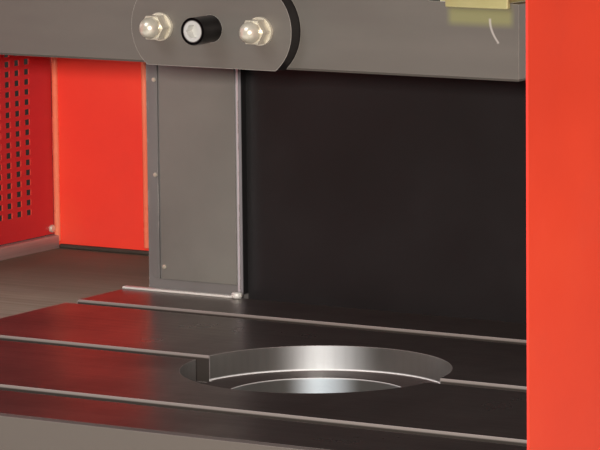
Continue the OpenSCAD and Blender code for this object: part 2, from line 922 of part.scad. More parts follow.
module clamp_outline(extra) {
    z = ram_z + clamp_z;
    difference() {
        union() {
            for (x = [-clamp_half, clamp_half])
                translate([x, z]) circle(clamp_r + extra, $fn = 96);
            translate([-clamp_half, z - clamp_r - extra]) square([2 * clamp_half, 2 * (clamp_r + extra)]);
        }
        translate([-2 * clamp_r - clamp_half, ram_z - 4 * clamp_r])
            square([4 * clamp_r + 2 * clamp_half, 4 * clamp_r - (extra > 0 ? 1 : 0)]);
    }
}

module at_studs() {
    both_sides() translate([stud_x, 0, ram_z + clamp_z]) children();
}

module ram() {
    flange_top = ram_z + ram_flange_t;
    flange_half = ram_flange_w / 2;
    slot_half = knock_t / 2 + gap;
    color(steel_grey)
    difference() {
        union() {
            block([-ram_half, ram_half], [-ram_front, ram_back], [ram_z, ram_top]);
            block([-flange_half, flange_half], [-ram_front, ram_back], [ram_z, flange_top]);
        }
        block([-cavity_x, cavity_x], [-cavity_y, cavity_y], [cavity_floor, ram_top + 1]);
        both_sides() translate([0, gib_y, flange_top])
            linear_extrude(ram_h) polygon([[ram_half + 1, -vee - 1 - gap], [ram_half + 1, vee + 1 + gap],
                [ram_half - vee - gap, 0]]);
        plate_xz(-ram_front - 1, ram_front + 1) clamp_outline(gap);
        translate([0, 0, ram_z - 1]) cylinder(d = shank_d, h = clamp_z + clamp_r + 1, $fn = 96);
        translate([0, 0, ram_z]) cylinder(r = 11, h = cavity_floor - ram_z - 1);
        at_studs() rod_y(stud_d / 2 + bolt_gap, -1, stud_grip + 2);
        block([-ram_half - 1, ram_half + 1], [knock_y - slot_half, knock_y + slot_half],
            [knock_z, knock_z + knock_h + knock_travel + gap]);
        both_sides() translate([ear_x, ear_y, ram_z + 10])
            cylinder(r = rod_tail_r + bolt_gap, h = ram_flange_t);
        chamfer_x(-ram_front, ram_z, edge_chamfer, flange_half + 1);
        both_sides() chamfer_y(flange_half, ram_z, edge_chamfer, ram_back + 1);
    }
}

module shank_clamp() {
    color(steel_grey)
    difference() {
        plate_xz(clamp_face, ram_front + clamp_proud - 1) clamp_outline(0);
        translate([0, 0, ram_z - 1]) cylinder(d = shank_d, h = clamp_z + clamp_r + 2, $fn = 96);
        at_studs() rod_y(stud_d / 2 + bolt_gap, clamp_face - 1, 1);
        translate([0, 0, ram_z + clamp_z]) rod_y(jack_d / 2 + bolt_gap, clamp_face - 1, -shank_d / 2 + 2);
    }
}

module clamp_studs() {
    nut_face = clamp_face - washer_t - nut_h;
    color(bright)
    at_studs() {
        rod_y(stud_d / 2, nut_face + 1, stud_grip);
        translate([0, nut_face, 0]) rotate([90, 0, 0]) rotate_extrude()
            intersection() {
                union() {
                    translate([0, -1]) square([dome_r, dome_h - dome_r + 2]);
                    translate([0, dome_h - dome_r]) circle(dome_r);
                }
                translate([0, -1]) square([dome_r, dome_h + 1]);
            }
        translate([0, nut_face, 0]) rotate([-90, 0, 0])
            cylinder(r = nut_af / 2 / cos(30), h = nut_h, $fn = 6);
        rod_y(nut_af / 2 + 2, clamp_face - washer_t - 0.01, clamp_face);
    }
}

module jack_screw() {
    tip = clamp_face - jack_proud;
    color(soft_black)
    translate([0, 0, ram_z + clamp_z])
    difference() {
        rod_y(jack_d / 2, tip, -shank_d / 2 - 2);
        translate([0, tip - 1, 0]) rotate([-90, 0, 0]) cylinder(r = 6, h = 9, $fn = 6);
    }
}

// Counterbalance: a clamp on each ear of the ram, its rod, and the air cylinder above.

module rod_clamps() {
    z = ram_z + ram_flange_t;
    color(zinc_yellow)
    both_sides() difference() {
        block([ear_x - ear_half, ear_x + ear_half], [ear_y - ear_half, ear_y + ear_half], [z, z + ear_h]);
        translate([ear_x, ear_y, z - 1]) cylinder(r = rod_r + bolt_gap, h = ear_h + 2);
        block([ear_x - 1.5, ear_x + 1.5], [ear_y - ear_half - 1, ear_y], [z - 1, z + ear_h + 1]);
    }
}

module balance_rods() {
    z = ram_z + ram_flange_t;
    piston_z = cyl_bottom + cyl_len - 62;
    color(bright)
    both_sides() translate([ear_x, ear_y, 0]) {
        translate([0, 0, ram_z + 12]) cylinder(r = rod_tail_r, h = ram_flange_t);
        translate([0, 0, z]) cylinder(r = rod_r, h = piston_z + 2 - z);
        translate([0, 0, piston_z]) cylinder(r = cyl_r - cyl_wall - running, h = 30);
    }
}

module balance_cylinders() {
    color(frame_grey)
    both_sides() difference() {
        union() {
            translate([ear_x, ear_y, cyl_bottom]) cylinder(r = cyl_r, h = cyl_len);
            for (z = [cyl_bottom, cyl_bottom + cyl_len - 30])
                block([ear_x - cyl_r, ear_x + cyl_r], [-crown_front, ear_y + cyl_r], [z, z + 30]);
        }
        translate([ear_x, ear_y, cyl_bottom + 20]) cylinder(r = cyl_r - cyl_wall, h = cyl_len - 40);
        translate([ear_x, ear_y, cyl_bottom - 1]) cylinder(r = rod_r + 2 * running, h = 40);
    }
}

// Knock-out bar, free to rise in its slot through the ram.

module knockout_bar() {
    color(bright)
    block([-ram_half - 50, ram_half + 50], [knock_y - knock_t / 2, knock_y + knock_t / 2],
        [knock_z, knock_z + knock_h]);
}

// Motor on its shelf, with its rotor, pulley and V-belts.

module motor_shelf() {
    y = [motor_front - 20, motor_back + 10];
    color(frame_grey) {
        block([-cheek_in, cheek_in], y, [shelf_top - 25, shelf_top]);
        for (x = [-cheek_in + 20, cheek_in - 40])
            block([x, x + 20], y, [shelf_top - 90, shelf_top - 24]);
    }
}

// Outline of a ribbed casing: n flat-topped ribs between the radii r_in and r_out.
function ribbed_ring(n, r_in, r_out) = [for (i = [0:n - 1], p = [[r_in, -0.25], [r_out, -0.17],
    [r_out, 0.17], [r_in, 0.25]]) p[0] * [cos((i + p[1]) * 360 / n), sin((i + p[1]) * 360 / n)]];

module motor() {
    ribs = 28;
    bell = 50;
    cowl = 70;
    foot_y = [motor_front + cowl + 20, motor_back - bell - 10];
    color(frame_grey)
    difference() {
        union() {
            translate([0, 0, motor_z]) {
                rod_y(motor_r - 3, motor_front, motor_front + cowl);
                rod_y(motor_r - 8, motor_back - bell, motor_back - 10);
                translate([0, motor_front + cowl - 1, 0]) rotate([-90, 0, 0])
                    linear_extrude(motor_back - bell - motor_front - cowl + 2)
                        polygon(ribbed_ring(ribs, motor_r - 20, motor_r));
            }
            block([-motor_r * 0.75, motor_r * 0.75], foot_y, [shelf_top, shelf_top + 22]);
            for (x = [-motor_r * 0.7, motor_r * 0.7 - 18])
                block([x, x + 18], [foot_y[0] + 10, foot_y[1] - 10], [shelf_top + 20, motor_z - 60]);
            block([motor_r - 40, motor_r + 45], [foot_y[0] + 10, foot_y[0] + 100],
                [motor_z - 45, motor_z + 45]);
        }
        translate([0, 0, motor_z]) rod_y(rotor_r + gap, motor_front + 60, motor_back + 1);
    }
}

module motor_rotor() {
    color(bright)
    translate([0, 0, motor_z]) rod_y(rotor_r, motor_front + 64, fly_y + flywheel_w);
}

module motor_pulley() {
    color(steel_grey)
    translate([0, fly_y, motor_z]) rotate([-90, 0, 0])
        rotate_extrude($fn = 96) grooved_rim(pulley_r, rotor_r + running);
}

// Slab of thickness t, round two pulleys of radius r1 and r2, with straight sides between them.
module belt_slab(y0, t, r1, r2) {
    d = crank_z - motor_z;
    a = asin((r1 - r2) / d);
    x1 = r1 * cos(a);
    x2 = r2 * cos(a);
    z1 = crank_z - r1 * sin(a);
    z2 = motor_z - r2 * sin(a);
    translate([0, 0, crank_z]) rod_y(r1, y0, y0 + t, $fn = 128);
    translate([0, 0, motor_z]) rod_y(r2, y0, y0 + t, $fn = 128);
    plate_xz(y0, t)
        polygon([[0, crank_z], [x1, z1], [x2, z2], [0, motor_z], [-x2, z2], [-x1, z1]]);
}

module drive_belts() {
    seat = -groove_d + gap;
    r1 = flywheel_r + seat;
    r2 = pulley_r + seat;
    color(soft_black)
    for (i = [0:belts - 1])
        difference() {
            y0 = fly_y + groove_y(i) - belt_w / 2 + 0.2;
            belt_slab(y0, belt_w - 0.4, r1 + belt_t, r2 + belt_t);
            belt_slab(y0 - 1, belt_w + 2, r1, r2);
        }
}

module belt_guard() {
    depth = belt_guard_back - frame_back;
    r1 = flywheel_r + guard_margin;
    r2 = pulley_r + guard_margin;
    color(guard_red)
    difference() {
        belt_slab(frame_back, depth, r1, r2);
        belt_slab(frame_back - 1, depth - sheet_t + 1, r1 - sheet_t, r2 - sheet_t);
        for (i = [-7:7])
            plate_xz(belt_guard_back - 10, 20)
                rounded_rect([-180 + abs(i) * 6, 180 - abs(i) * 6],
                    [crank_z + i * 36 - 6, crank_z + i * 36 + 6], 5);
    }
}

// Work zone: wing tables, rear guard plates and the hinged side guards.

module wing_table() {
    color([0.45, 0.38, 0.31]) {
        block([table_in, table_out], [-bolster_front, table_back], [table_top - table_t, table_top]);
        block([table_out - 5, table_out], [-bolster_front, table_back], [table_top - 60, table_top - 1]);
        block([table_in, table_out], [-bolster_front, -bolster_front + 5], [table_top - 60, table_top - 1]);
        block([cheek_out, cheek_out + 10], [-bed_front + 20, throat_depth], [table_top - 190, bed_top - 5]);
        for (y = [-bed_front + 40, 0, throat_depth - 52])
            translate([0, y + 12, 0]) rotate([90, 0, 0]) linear_extrude(12)
                polygon([[cheek_out + 9, table_top - 190], [table_out - 4, table_top - 40],
                    [table_out - 4, table_top - table_t + 1], [table_in, table_top - table_t + 1],
                    [table_in, bed_top - 5], [cheek_out + 9, bed_top - 5]]);
    }
}

module wing_table_left() {
    mirror([1, 0, 0]) wing_table();
}

module wing_table_right() {
    wing_table();
}

module rear_guard() {
    fold = 26;
    color(guard_red) {
        block([cheek_out, guard_x], [guard_back, guard_back + sheet_t], [guard_low, guard_top]);
        block([cheek_out, cheek_out + sheet_t], [guard_back, guard_back + fold], [guard_low, guard_top]);
        block([guard_x - sheet_t, guard_x], [guard_back, guard_back + fold], [guard_low, guard_top]);
        block([cheek_out, guard_x], [guard_back, guard_back + fold], [guard_top - sheet_t, guard_top]);
        block([table_in, guard_x], [guard_back, guard_back + fold], [table_top - table_t, guard_low]);
    }
}

module rear_guard_left() {
    mirror([1, 0, 0]) rear_guard();
}

module rear_guard_right() {
    rear_guard();
}

module guard_hinge_leaves() {
    color(bright)
    both_sides() for (z = hinge_z) {
        difference() {
            union() {
                translate([hinge_x, hinge_y, z]) cylinder(r = hinge_r, h = hinge_len, $fn = 32);
                block([guard_x, guard_x + 3], [hinge_y, guard_back + 26], [z, z + hinge_len]);
            }
            translate([hinge_x, hinge_y, z + 10]) cylinder(r = hinge_pin_r + running, h = hinge_len, $fn = 32);
        }
        translate([hinge_x, hinge_y, z + 10]) cylinder(r = hinge_pin_r, h = 2 * hinge_len - 14, $fn = 32);
    }
}

module side_guard() {
    y0 = -guard_front + guard_border_front;
    y1 = guard_rear - guard_border_rear;
    z0 = guard_low + guard_border_low;
    z1 = guard_top - guard_border_rear;
    step_y = (y1 - y0 + cell_bar) / cells_y;
    step_z = (z1 - z0 + cell_bar) / cells_z;
    color(guard_red) {
        difference() {
            union() {
                block([guard_x - sheet_t, guard_x], [-guard_front, guard_rear], [guard_low, guard_top]);
                block([guard_x - 20, guard_x], [-guard_front, guard_rear], [guard_top - sheet_t, guard_top]);
                for (z = hinge_z)
                    block([guard_x - 1, guard_x + 3], [hinge_y - 60, hinge_y],
                        [z + hinge_len + gap, z + 2 * hinge_len]);
                for (z = hinge_z)
                    translate([hinge_x, hinge_y, z + hinge_len + gap])
                        cylinder(r = hinge_r, h = hinge_len - gap, $fn = 32);
            }
            for (i = [0:cells_y - 1], j = [0:cells_z - 1])
                block([guard_x - sheet_t - 1, guard_x + 1],
                    [y0 + i * step_y, y0 + (i + 1) * step_y - cell_bar],
                    [z0 + j * step_z, z0 + (j + 1) * step_z - cell_bar]);
            for (z = hinge_z)
                translate([hinge_x, hinge_y, z + hinge_len])
                    cylinder(r = hinge_pin_r + 2 * running, h = hinge_len - 3, $fn = 32);
        }
        guard_grip();
    }
}

module guard_grip() {
    y = -guard_front + 70;
    z = guard_low + guard_h / 2;
    for (dz = [-60, 48])
        block([guard_x - 1, guard_x + 34], [y - 6, y + 6], [z + dz, z + dz + 12]);
    block([guard_x + 22, guard_x + 34], [y - 6, y + 6], [z - 60, z + 60]);
}

module side_guard_left() {
    mirror([1, 0, 0]) side_guard();
}

module side_guard_right() {
    side_guard();
}

// Electric cabinet on the left side frame.

module electric_cabinet() {
    color(frame_grey) {
        difference() {
            block(cab_x, cab_y, cab_z);
            block([cab_x[0] - 1, cab_x[1] - sheet_t], [cab_y[0] + sheet_t, cab_y[1] - sheet_t],
                [cab_z[0] + sheet_t, cab_z[1] - sheet_t]);
        }
        for (z = cab_hinge_z) {
            translate([cab_hinge_x, cab_hinge_y, z]) cylinder(r = cab_hinge_r, h = cab_hinge_len, $fn = 32);
            translate([cab_hinge_x, cab_hinge_y, z + 1])
                cylinder(r = hinge_pin_r - 1, h = 2 * cab_hinge_len - 6, $fn = 32);
            block([cab_hinge_x, cab_x[0] + 30], [cab_y[1], cab_y[1] + 3], [z, z + cab_hinge_len]);
        }
    }
}

module cabinet_door() {
    face = cab_x[0] - door_t;
    color(frame_grey)
    difference() {
        union() {
            difference() {
                block([face, cab_x[0] - gap], [cab_y[0], cab_y[1] - 1], cab_z);
                block([face + sheet_t, cab_x[0]], [cab_y[0] + sheet_t, cab_y[1] - sheet_t - 1],
                    [cab_z[0] + sheet_t, cab_z[1] - sheet_t]);
            }
            for (z = cab_hinge_z) {
                translate([cab_hinge_x, cab_hinge_y, z + cab_hinge_len + gap])
                    cylinder(r = cab_hinge_r, h = cab_hinge_len - gap, $fn = 32);
                block([face - 3, face + 1], [cab_hinge_y - 40, cab_hinge_y],
                    [z + cab_hinge_len + gap, z + 2 * cab_hinge_len]);
            }
        }
        for (z = cab_hinge_z)
            translate([cab_hinge_x, cab_hinge_y, z + cab_hinge_len])
                cylinder(r = hinge_pin_r - 1 + 2 * running, h = cab_hinge_len - 3, $fn = 32);
        translate([0, handle_y, handle_z]) rod_x(8 + gap, face - 1, cab_x[0]);
        translate([0, switch_y, switch_z]) rod_x(8 + gap, face - 1, cab_x[0]);
    }
}

module door_handle() {
    x = cab_x[0] - door_t;
    color(soft_black)
    translate([0, handle_y, handle_z]) {
        rod_x(8, x - 16, x + 12);
        rod_x(16, x - 14, x - 1);
        block([x - 26, x - 12], [-10, 10], [-90, 16]);
    }
}

module main_switch() {
    x = cab_x[0] - door_t;
    color(guard_red)
    translate([0, switch_y, switch_z]) {
        rod_x(8, x - 4, x + 12);
        rod_x(26, x - 14, x - 1);
        block([x - 34, x - 13], [-8, 8], [-26, 26]);
    }
}

// Air tank and lubricator on the right side frame.

module air_tank() {
    color(frame_grey) {
        translate([tank_x, tank_y, 0])
            rotate_extrude($fn = 72) difference() {
                union() {
                    translate([0, tank_z[0]]) square([tank_r, tank_z[1] - tank_z[0]]);
                    for (z = tank_z)
                        intersection() {
                            translate([0, z]) scale([1, 1]) circle(tank_r);
                            translate([0, z - 35]) square([tank_r, 70]);
                        }
                }
                translate([-2 * tank_r, tank_z[0] - tank_r]) square([2 * tank_r, 4 * tank_r + tank_z[1]]);
            }
        for (z = [tank_z[0] + 60, tank_z[1] - 100])
            difference() {
                block([cheek_out, tank_x], [tank_y - 60, tank_y + 60], [z, z + 40]);
                translate([tank_x, tank_y, z - 1]) cylinder(r = tank_r - 10, h = 42);
            }
    }
}

module lubricator() {
    y = frame_back - 110;
    x = cheek_out;
    color([0.80, 0.80, 0.76]) {
        block([x, x + 8], [y, y + 110], [lube_z, lube_z + 210]);
        block([x + 7, x + 120], [y + 8, y + 102], [lube_z + 8, lube_z + 120]);
        translate([x + 64, y + 55, lube_z + 119]) cylinder(r = 40, h = 50);
        translate([x + 64, y + 55, lube_z + 168]) cylinder(r = 24, h = 20);
    }
}

// Two-hand console on the front of the bed.

module button_well(depth) {
    translate([0, 0, -depth]) cylinder(r = palm_stem_r + gap, h = depth + 1);
}

module console() {
    color(frame_grey)
    difference() {
        union() {
            plate_yz(-con_half, 2 * con_half)
                polygon([[-bed_front, con_top], [-bed_front, con_top - con_h],
                    [con_front + 40, con_top - con_h], [con_front, con_top - con_h + 50], [con_front, con_top - 12],
                    [con_front + 12, con_top]]);
            both_sides() translate([palm_x, palm_y, con_top - 1])
                difference() {
                    cylinder(r = 58, h = 46);
                    translate([0, 0, -1]) cylinder(r = 52, h = 60);
                    block([-70, 70], [-70, 0], [8, 60]);
                }
        }
        both_sides() translate([palm_x, palm_y, con_top]) button_well(40);
        for (x = [-stop_x, stop_x])
            translate([x, con_front, stop_z]) rotate([90, 0, 0]) button_well(40);
    }
}

module palm_button() {
    translate([palm_x, palm_y, con_top])
        rotate_extrude() polygon([[0, -24], [palm_stem_r, -24], [palm_stem_r, 16], [40, 16], [42, 22],
            [34, 32], [18, 37], [0, 38]]);
}

module palm_button_left() {
    color([0.15, 0.5, 0.3]) mirror([1, 0, 0]) palm_button();
}

module palm_button_right() {
    color([0.15, 0.5, 0.3]) palm_button();
}

module emergency_stop() {
    color(guard_red)
    translate([stop_x, con_front, stop_z]) rotate([90, 0, 0])
        rotate_extrude() polygon([[0, -24], [palm_stem_r, -24], [palm_stem_r, 10], [22, 10], [24, 16],
            [20, 24], [0, 27]]);
}

module selector_knob() {
    color(soft_black)
    translate([-stop_x, con_front, stop_z]) rotate([90, 0, 0]) {
        translate([0, 0, -24]) cylinder(r = palm_stem_r, h = 26);
        translate([0, 0, 1]) cylinder(r = 19, h = 7);
        translate([-5, -17, 7]) cube([10, 34, 12]);
    }
}

side_frame_left();
side_frame_right();
bed();
bolster();
frame_bolts();
crown_front_plate();
crank_wall();
rear_wall();
crown_top_cover();
lifting_eyes();
throat_back_plate();
gib_left();
gib_right();
gib_bolts();
crank_bushes();
flywheel_quill();
flywheel_bearings();
balance_cylinders();
wing_table_left();
wing_table_right();
rear_guard_left();
rear_guard_right();
guard_hinge_leaves();
angle_dial();
motor_shelf();
motor();
drive_belts();
belt_guard();
electric_cabinet();
air_tank();
lubricator();
console();
crankshaft();
angle_pointer();
clutch_brake();
connecting_rod();
rod_cap();
rod_bolts();
adjusting_screw();
ball_pad();
ram();
shank_clamp();
clamp_studs();
jack_screw();
rod_clamps();
balance_rods();
knockout_bar();
flywheel();
motor_rotor();
motor_pulley();
side_guard_left();
side_guard_right();
palm_button_left();
palm_button_right();
emergency_stop();
selector_knob();
cabinet_door();
door_handle();
main_switch();
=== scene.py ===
# %% [markdown]
# # A gap frame punch press
#
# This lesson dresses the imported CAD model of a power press: paints, ground steel, perforated guards, nuts and
# buttons. Every piece is in metres and in the CAD model's own frame, so nothing has to be fitted afterwards.

import math

import bpy
from mathutils import Matrix, Vector


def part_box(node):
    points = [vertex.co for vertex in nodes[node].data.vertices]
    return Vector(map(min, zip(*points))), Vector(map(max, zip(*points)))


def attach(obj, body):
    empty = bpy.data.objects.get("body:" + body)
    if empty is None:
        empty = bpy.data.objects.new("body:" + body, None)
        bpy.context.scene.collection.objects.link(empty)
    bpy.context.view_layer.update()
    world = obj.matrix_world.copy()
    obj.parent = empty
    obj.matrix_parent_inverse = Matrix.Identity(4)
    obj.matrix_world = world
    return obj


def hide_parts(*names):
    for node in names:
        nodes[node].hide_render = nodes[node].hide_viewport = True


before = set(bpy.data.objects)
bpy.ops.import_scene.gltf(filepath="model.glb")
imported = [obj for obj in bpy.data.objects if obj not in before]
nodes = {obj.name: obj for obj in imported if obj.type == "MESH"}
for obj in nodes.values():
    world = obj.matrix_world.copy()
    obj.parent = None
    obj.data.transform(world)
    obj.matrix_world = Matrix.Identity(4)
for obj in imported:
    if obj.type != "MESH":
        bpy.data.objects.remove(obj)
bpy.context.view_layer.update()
MM = 0.001

# %% [markdown]
# ## The camera
#
# The photograph looks into the work zone from the right front with a long lens. A camera is set by where it
# stands and by three angles. They were worked out from the straight T-slots and the round hole, and they give
# the three directions of the camera's own axes.

# %% Camera
camera_place = Vector((1762.6, -2825.0, 1489.4)) * MM
yaw = math.radians(32.17)
pitch = math.radians(7.973)
roll = math.radians(-0.613)

ahead = Vector((-math.sin(yaw) * math.cos(pitch), math.cos(yaw) * math.cos(pitch), -math.sin(pitch)))
level_right = Vector((math.cos(yaw), math.sin(yaw), 0))
level_up = level_right.cross(ahead)
right = level_right * math.cos(roll) + level_up * math.sin(roll)
up = level_up * math.cos(roll) - level_right * math.sin(roll)

camera_data = bpy.data.cameras.new("camera")
camera_data.sensor_width = 36
camera_data.lens = 239.36
camera_data.clip_end = 60
camera = bpy.data.objects.new("camera", camera_data)
turn = Matrix((right, up, -ahead)).transposed()
camera.matrix_world = Matrix.Translation(camera_place) @ turn.to_4x4()
bpy.context.scene.collection.objects.link(camera)
bpy.context.scene.camera = camera
print("camera at", tuple(round(c, 3) for c in camera_place))

# %% [markdown]
# ## Floor and light
#
# The press stands on a round pale floor in a dark studio, so that the throat and the punched holes of the
# guards look through to something dark. The key lamp is small and stands beside the camera like a flash: the
# ram then throws only a narrow shadow on the plates behind it. Larger, weaker lamps fill in the sides and the
# back. Two of them are left out of reflections, because they would glare on the top and the belt guard.

# %% Small helpers for materials
def linear(code):
    """A hex sRGB colour as the linear RGBA that Blender wants."""
    values = [int(code[i:i + 2], 16) / 255 for i in (1, 3, 5)]
    return tuple(v / 12.92 if v <= 0.04045 else ((v + 0.055) / 1.055) ** 2.4 for v in values) + (1.0,)


def add(tree, kind, links=None, ramp=None, **settings):
    """Adds one node. links maps its inputs to other nodes' outputs or to plain values."""
    made = tree.nodes.new(kind)
    for name, value in settings.items():
        setattr(made, name, value)
    for key, value in (links or {}).items():
        if isinstance(value, bpy.types.NodeSocket):
            tree.links.new(value, made.inputs[key])
        else:
            made.inputs[key].default_value = value
    if ramp:
        stops = made.color_ramp.elements
        stops[0].position, stops[1].position = ramp[0][0], ramp[-1][0]
        for place, colour in ramp[1:-1]:
            stops.new(place)
        for stop, (place, colour) in zip(stops, ramp):
            stop.color = linear(colour)
    return made


def new_material(name):
    """An empty material with its node tree and its surface shader."""
    made = bpy.data.materials.new(name)
    made.use_nodes = True
    return made, made.node_tree, made.node_tree.nodes["Principled BSDF"]


# %% Floor, sky and lamps
bpy.context.scene.view_settings.view_transform = "Standard"


def deselect():
    """Takes everything out of the selection, so that an operator acts only on what comes next."""
    bpy.ops.object.select_all(action="DESELECT")


dark_room = "#2b2825"
floor_radius = 5.6

deselect()
bpy.ops.mesh.primitive_circle_add(vertices=128, radius=floor_radius, fill_type="NGON", location=(0, 0.2, 0))
floor = bpy.context.active_object
floor.name = "floor"
floor_paint, tree, shader = new_material("pale_floor")
place = add(tree, "ShaderNodeTexCoord").outputs["Object"]
cloud = add(tree, "ShaderNodeTexNoise", {"Vector": place, "Scale": 1.5})
tone = add(tree, "ShaderNodeValToRGB", {"Fac": cloud.outputs["Fac"]}, [(0.3, "#c6c4c0"), (0.7, "#d2d0cc")])
reach = add(tree, "ShaderNodeVectorMath", {0: place}, operation="LENGTH")
rim = add(tree, "ShaderNodeMapRange", {"Value": reach.outputs["Value"], "From Min": 0.55 * floor_radius,
    "From Max": 0.98 * floor_radius}, interpolation_type="SMOOTHSTEP")
faded = add(tree, "ShaderNodeMix", {0: rim.outputs["Result"], 6: tone.outputs["Color"],
    7: linear(dark_room)}, data_type="RGBA")
tree.links.new(faded.outputs[2], shader.inputs["Base Color"])
shader.inputs["Roughness"].default_value = 0.85
floor.data.materials.append(floor_paint)

sky = bpy.data.worlds.new("studio")
sky.use_nodes = True
tree = sky.node_tree
lit = tree.nodes["Background"]
lit.inputs["Color"].default_value = linear("#e6e8ea")
lit.inputs["Strength"].default_value = 0.39
rays = add(tree, "ShaderNodeLightPath")
mirrored = add(tree, "ShaderNodeMath", {0: rays.outputs["Is Glossy Ray"],
    1: rays.outputs["Is Transmission Ray"]}, operation="MAXIMUM")
seen = add(tree, "ShaderNodeMath", {0: rays.outputs["Is Camera Ray"], 1: mirrored.outputs[0]},
    operation="MAXIMUM")
room = add(tree, "ShaderNodeBackground", {"Color": linear(dark_room), "Strength": 1.0})
both = add(tree, "ShaderNodeMixShader", {0: seen.outputs[0], 1: lit.outputs["Background"],
    2: room.outputs["Background"]})
tree.links.new(both.outputs["Shader"], tree.nodes["World Output"].inputs["Surface"])
bpy.context.scene.world = sky


def lamp(name, place, target, size, watts, colour, spread=180):
    """A square lamp that faces a point and isn't seen by the camera. Its beam spreads by so many degrees."""
    data = bpy.data.lights.new(name, "AREA")
    data.size = size
    data.spread = math.radians(spread)
    data.energy = watts
    data.color = linear(colour)[:3]
    made = bpy.data.objects.new(name, data)
    made.location = place
    made.rotation_euler = (Vector(target) - Vector(place)).to_track_quat("-Z", "Y").to_euler()
    made.visible_camera = False
    bpy.context.scene.collection.objects.link(made)
    return made


lamp("key_lamp", (1.66, -2.85, 1.54), (-0.1, 0.1, 1.05), 0.08, 34.5, "#fff9f0", spread=110)
lamp("front_lamp", (-0.9, -2.9, 3.7), (-0.4, 0.2, 1.0), 1.6, 44, "#f4f8ff")
lamp("left_lamp", (-4.2, 0.4, 2.6), (0, 0.2, 1.2), 2.2, 97, "#f6f9ff")
right_lamp = lamp("right_lamp", (3.9, 3.0, 2.6), (0.4, 0.2, 1.3), 2.0, 60, "#fffaf4")
rear_lamp = lamp("rear_lamp", (-0.8, 4.8, 3.0), (0, 0.6, 1.3), 2.4, 92, "#ffffff")
for unmirrored in (right_lamp, rear_lamp):
    unmirrored.visible_glossy = False

# %% [markdown]
# ## Paint
#
# Machine enamel is sprayed thick. It has a faint orange peel a few millimetres across, and its colour drifts
# a little from place to place, with some dust and handling dirt. One function makes every enamel here.

# %% Enamel
def enamel(name, main, light, dark, rough, peel=3.0, dirt="#4a443e", dirty=0.15):
    """Sprayed machine enamel: blotchy colour, orange peel of peel millimetres, and smudges of dirt."""
    made, tree, shader = new_material(name)
    place = add(tree, "ShaderNodeTexCoord").outputs["Object"]
    blotch = add(tree, "ShaderNodeTexNoise", {"Vector": place, "Scale": 1 / (180 * MM), "Detail": 5})
    tone = add(tree, "ShaderNodeValToRGB", {"Fac": blotch.outputs["Fac"]},
        [(0.3, dark), (0.5, main), (0.72, light)])
    smear = add(tree, "ShaderNodeTexNoise",
        {"Vector": place, "Scale": 1 / (70 * MM), "Detail": 8, "Roughness": 0.7})
    where = add(tree, "ShaderNodeMapRange",
        {"Value": smear.outputs["Fac"], "From Min": 0.55, "From Max": 0.8, "To Max": dirty})
    colour = add(tree, "ShaderNodeMix", {0: where.outputs["Result"], 6: tone.outputs["Color"],
        7: linear(dirt)}, data_type="RGBA")
    tree.links.new(colour.outputs[2], shader.inputs["Base Color"])
    dull = add(tree, "ShaderNodeMapRange",
        {"Value": smear.outputs["Fac"], "To Min": rough - 0.08, "To Max": rough + 0.14})
    tree.links.new(dull.outputs["Result"], shader.inputs["Roughness"])
    skin = add(tree, "ShaderNodeTexNoise", {"Vector": place, "Scale": 1 / (peel * MM), "Detail": 2})
    bump = add(tree, "ShaderNodeBump", {"Height": skin.outputs["Fac"], "Strength": 0.12, "Distance": 0.0004})
    tree.links.new(bump.outputs["Normal"], shader.inputs["Normal"])
    return made


grey_enamel = enamel("grey_machine_enamel", "#83807f", "#8c8887", "#797675", 0.42)
red_enamel = enamel("red_gloss_enamel", "#ff4635", "#ff563b", "#f63e32", 0.3, dirty=0.05)
guard_enamel = enamel("orange_red_gloss_enamel", "#dd4025", "#e3492a", "#d23b23", 0.33, dirty=0.06)
# The hems' lighter red is a painted highlight along the rolled edges.
hem_highlight_enamel = enamel("red_hem_painted_highlight", "#ff8665", "#ff9a77", "#ff7454", 0.25, dirty=0.03)
liner_enamel = enamel("light_grey_liner_enamel", "#807c76", "#8a877f", "#75716c", 0.42)
dial_enamel = enamel("white_dial_enamel", "#c4c2b9", "#ccc9c0", "#b9b7ae", 0.4, peel=1.5, dirty=0.08)
black_enamel = enamel("black_satin_enamel", "#1a1718", "#201d1e", "#151313", 0.5, dirty=0.08, dirt="#403939")
cabinet_coat = enamel("light_grey_powder_coat", "#b9b6ad", "#c2bfb7", "#b0ada4", 0.5, peel=1.5, dirty=0.1)

# %% Where a finish changes on one piece
def band(tree, value, low, high, soft=0.6):
    """1 where a length in metres lies between two bounds in millimetres, with soft borders."""
    rise = add(tree, "ShaderNodeMapRange",
        {"Value": value, "From Min": (low - soft) * MM, "From Max": (low + soft) * MM})
    fall = add(tree, "ShaderNodeMapRange", {"Value": value, "From Min": (high - soft) * MM,
        "From Max": (high + soft) * MM, "To Min": 1.0, "To Max": 0.0})
    return times(tree, rise.outputs["Result"], fall.outputs["Result"])


def times(tree, first, second):
    """Two shares multiplied."""
    return add(tree, "ShaderNodeMath", {0: first, 1: second}, operation="MULTIPLY").outputs[0]


def coordinates(tree):
    """The X, Y and Z of a point on the piece, in metres."""
    place = add(tree, "ShaderNodeTexCoord").outputs["Object"]
    parts = add(tree, "ShaderNodeSeparateXYZ", {0: place})
    return [parts.outputs[axis] for axis in "XYZ"]


def facing(tree, axis):
    """How far a face looks along an axis: 1 or -1 straight along it, and 0 across it."""
    normal = add(tree, "ShaderNodeNewGeometry").outputs["True Normal"]
    return add(tree, "ShaderNodeSeparateXYZ", {0: normal}).outputs[axis]


def upright(tree):
    """1 on upright faces and 0 on level ones."""
    steep = add(tree, "ShaderNodeMath", {0: facing(tree, "Z")}, operation="ABSOLUTE")
    return add(tree, "ShaderNodeMapRange", {"Value": steep.outputs[0], "From Min": 0.3, "From Max": 0.8,
        "To Min": 1.0, "To Max": 0.0}).outputs["Result"]


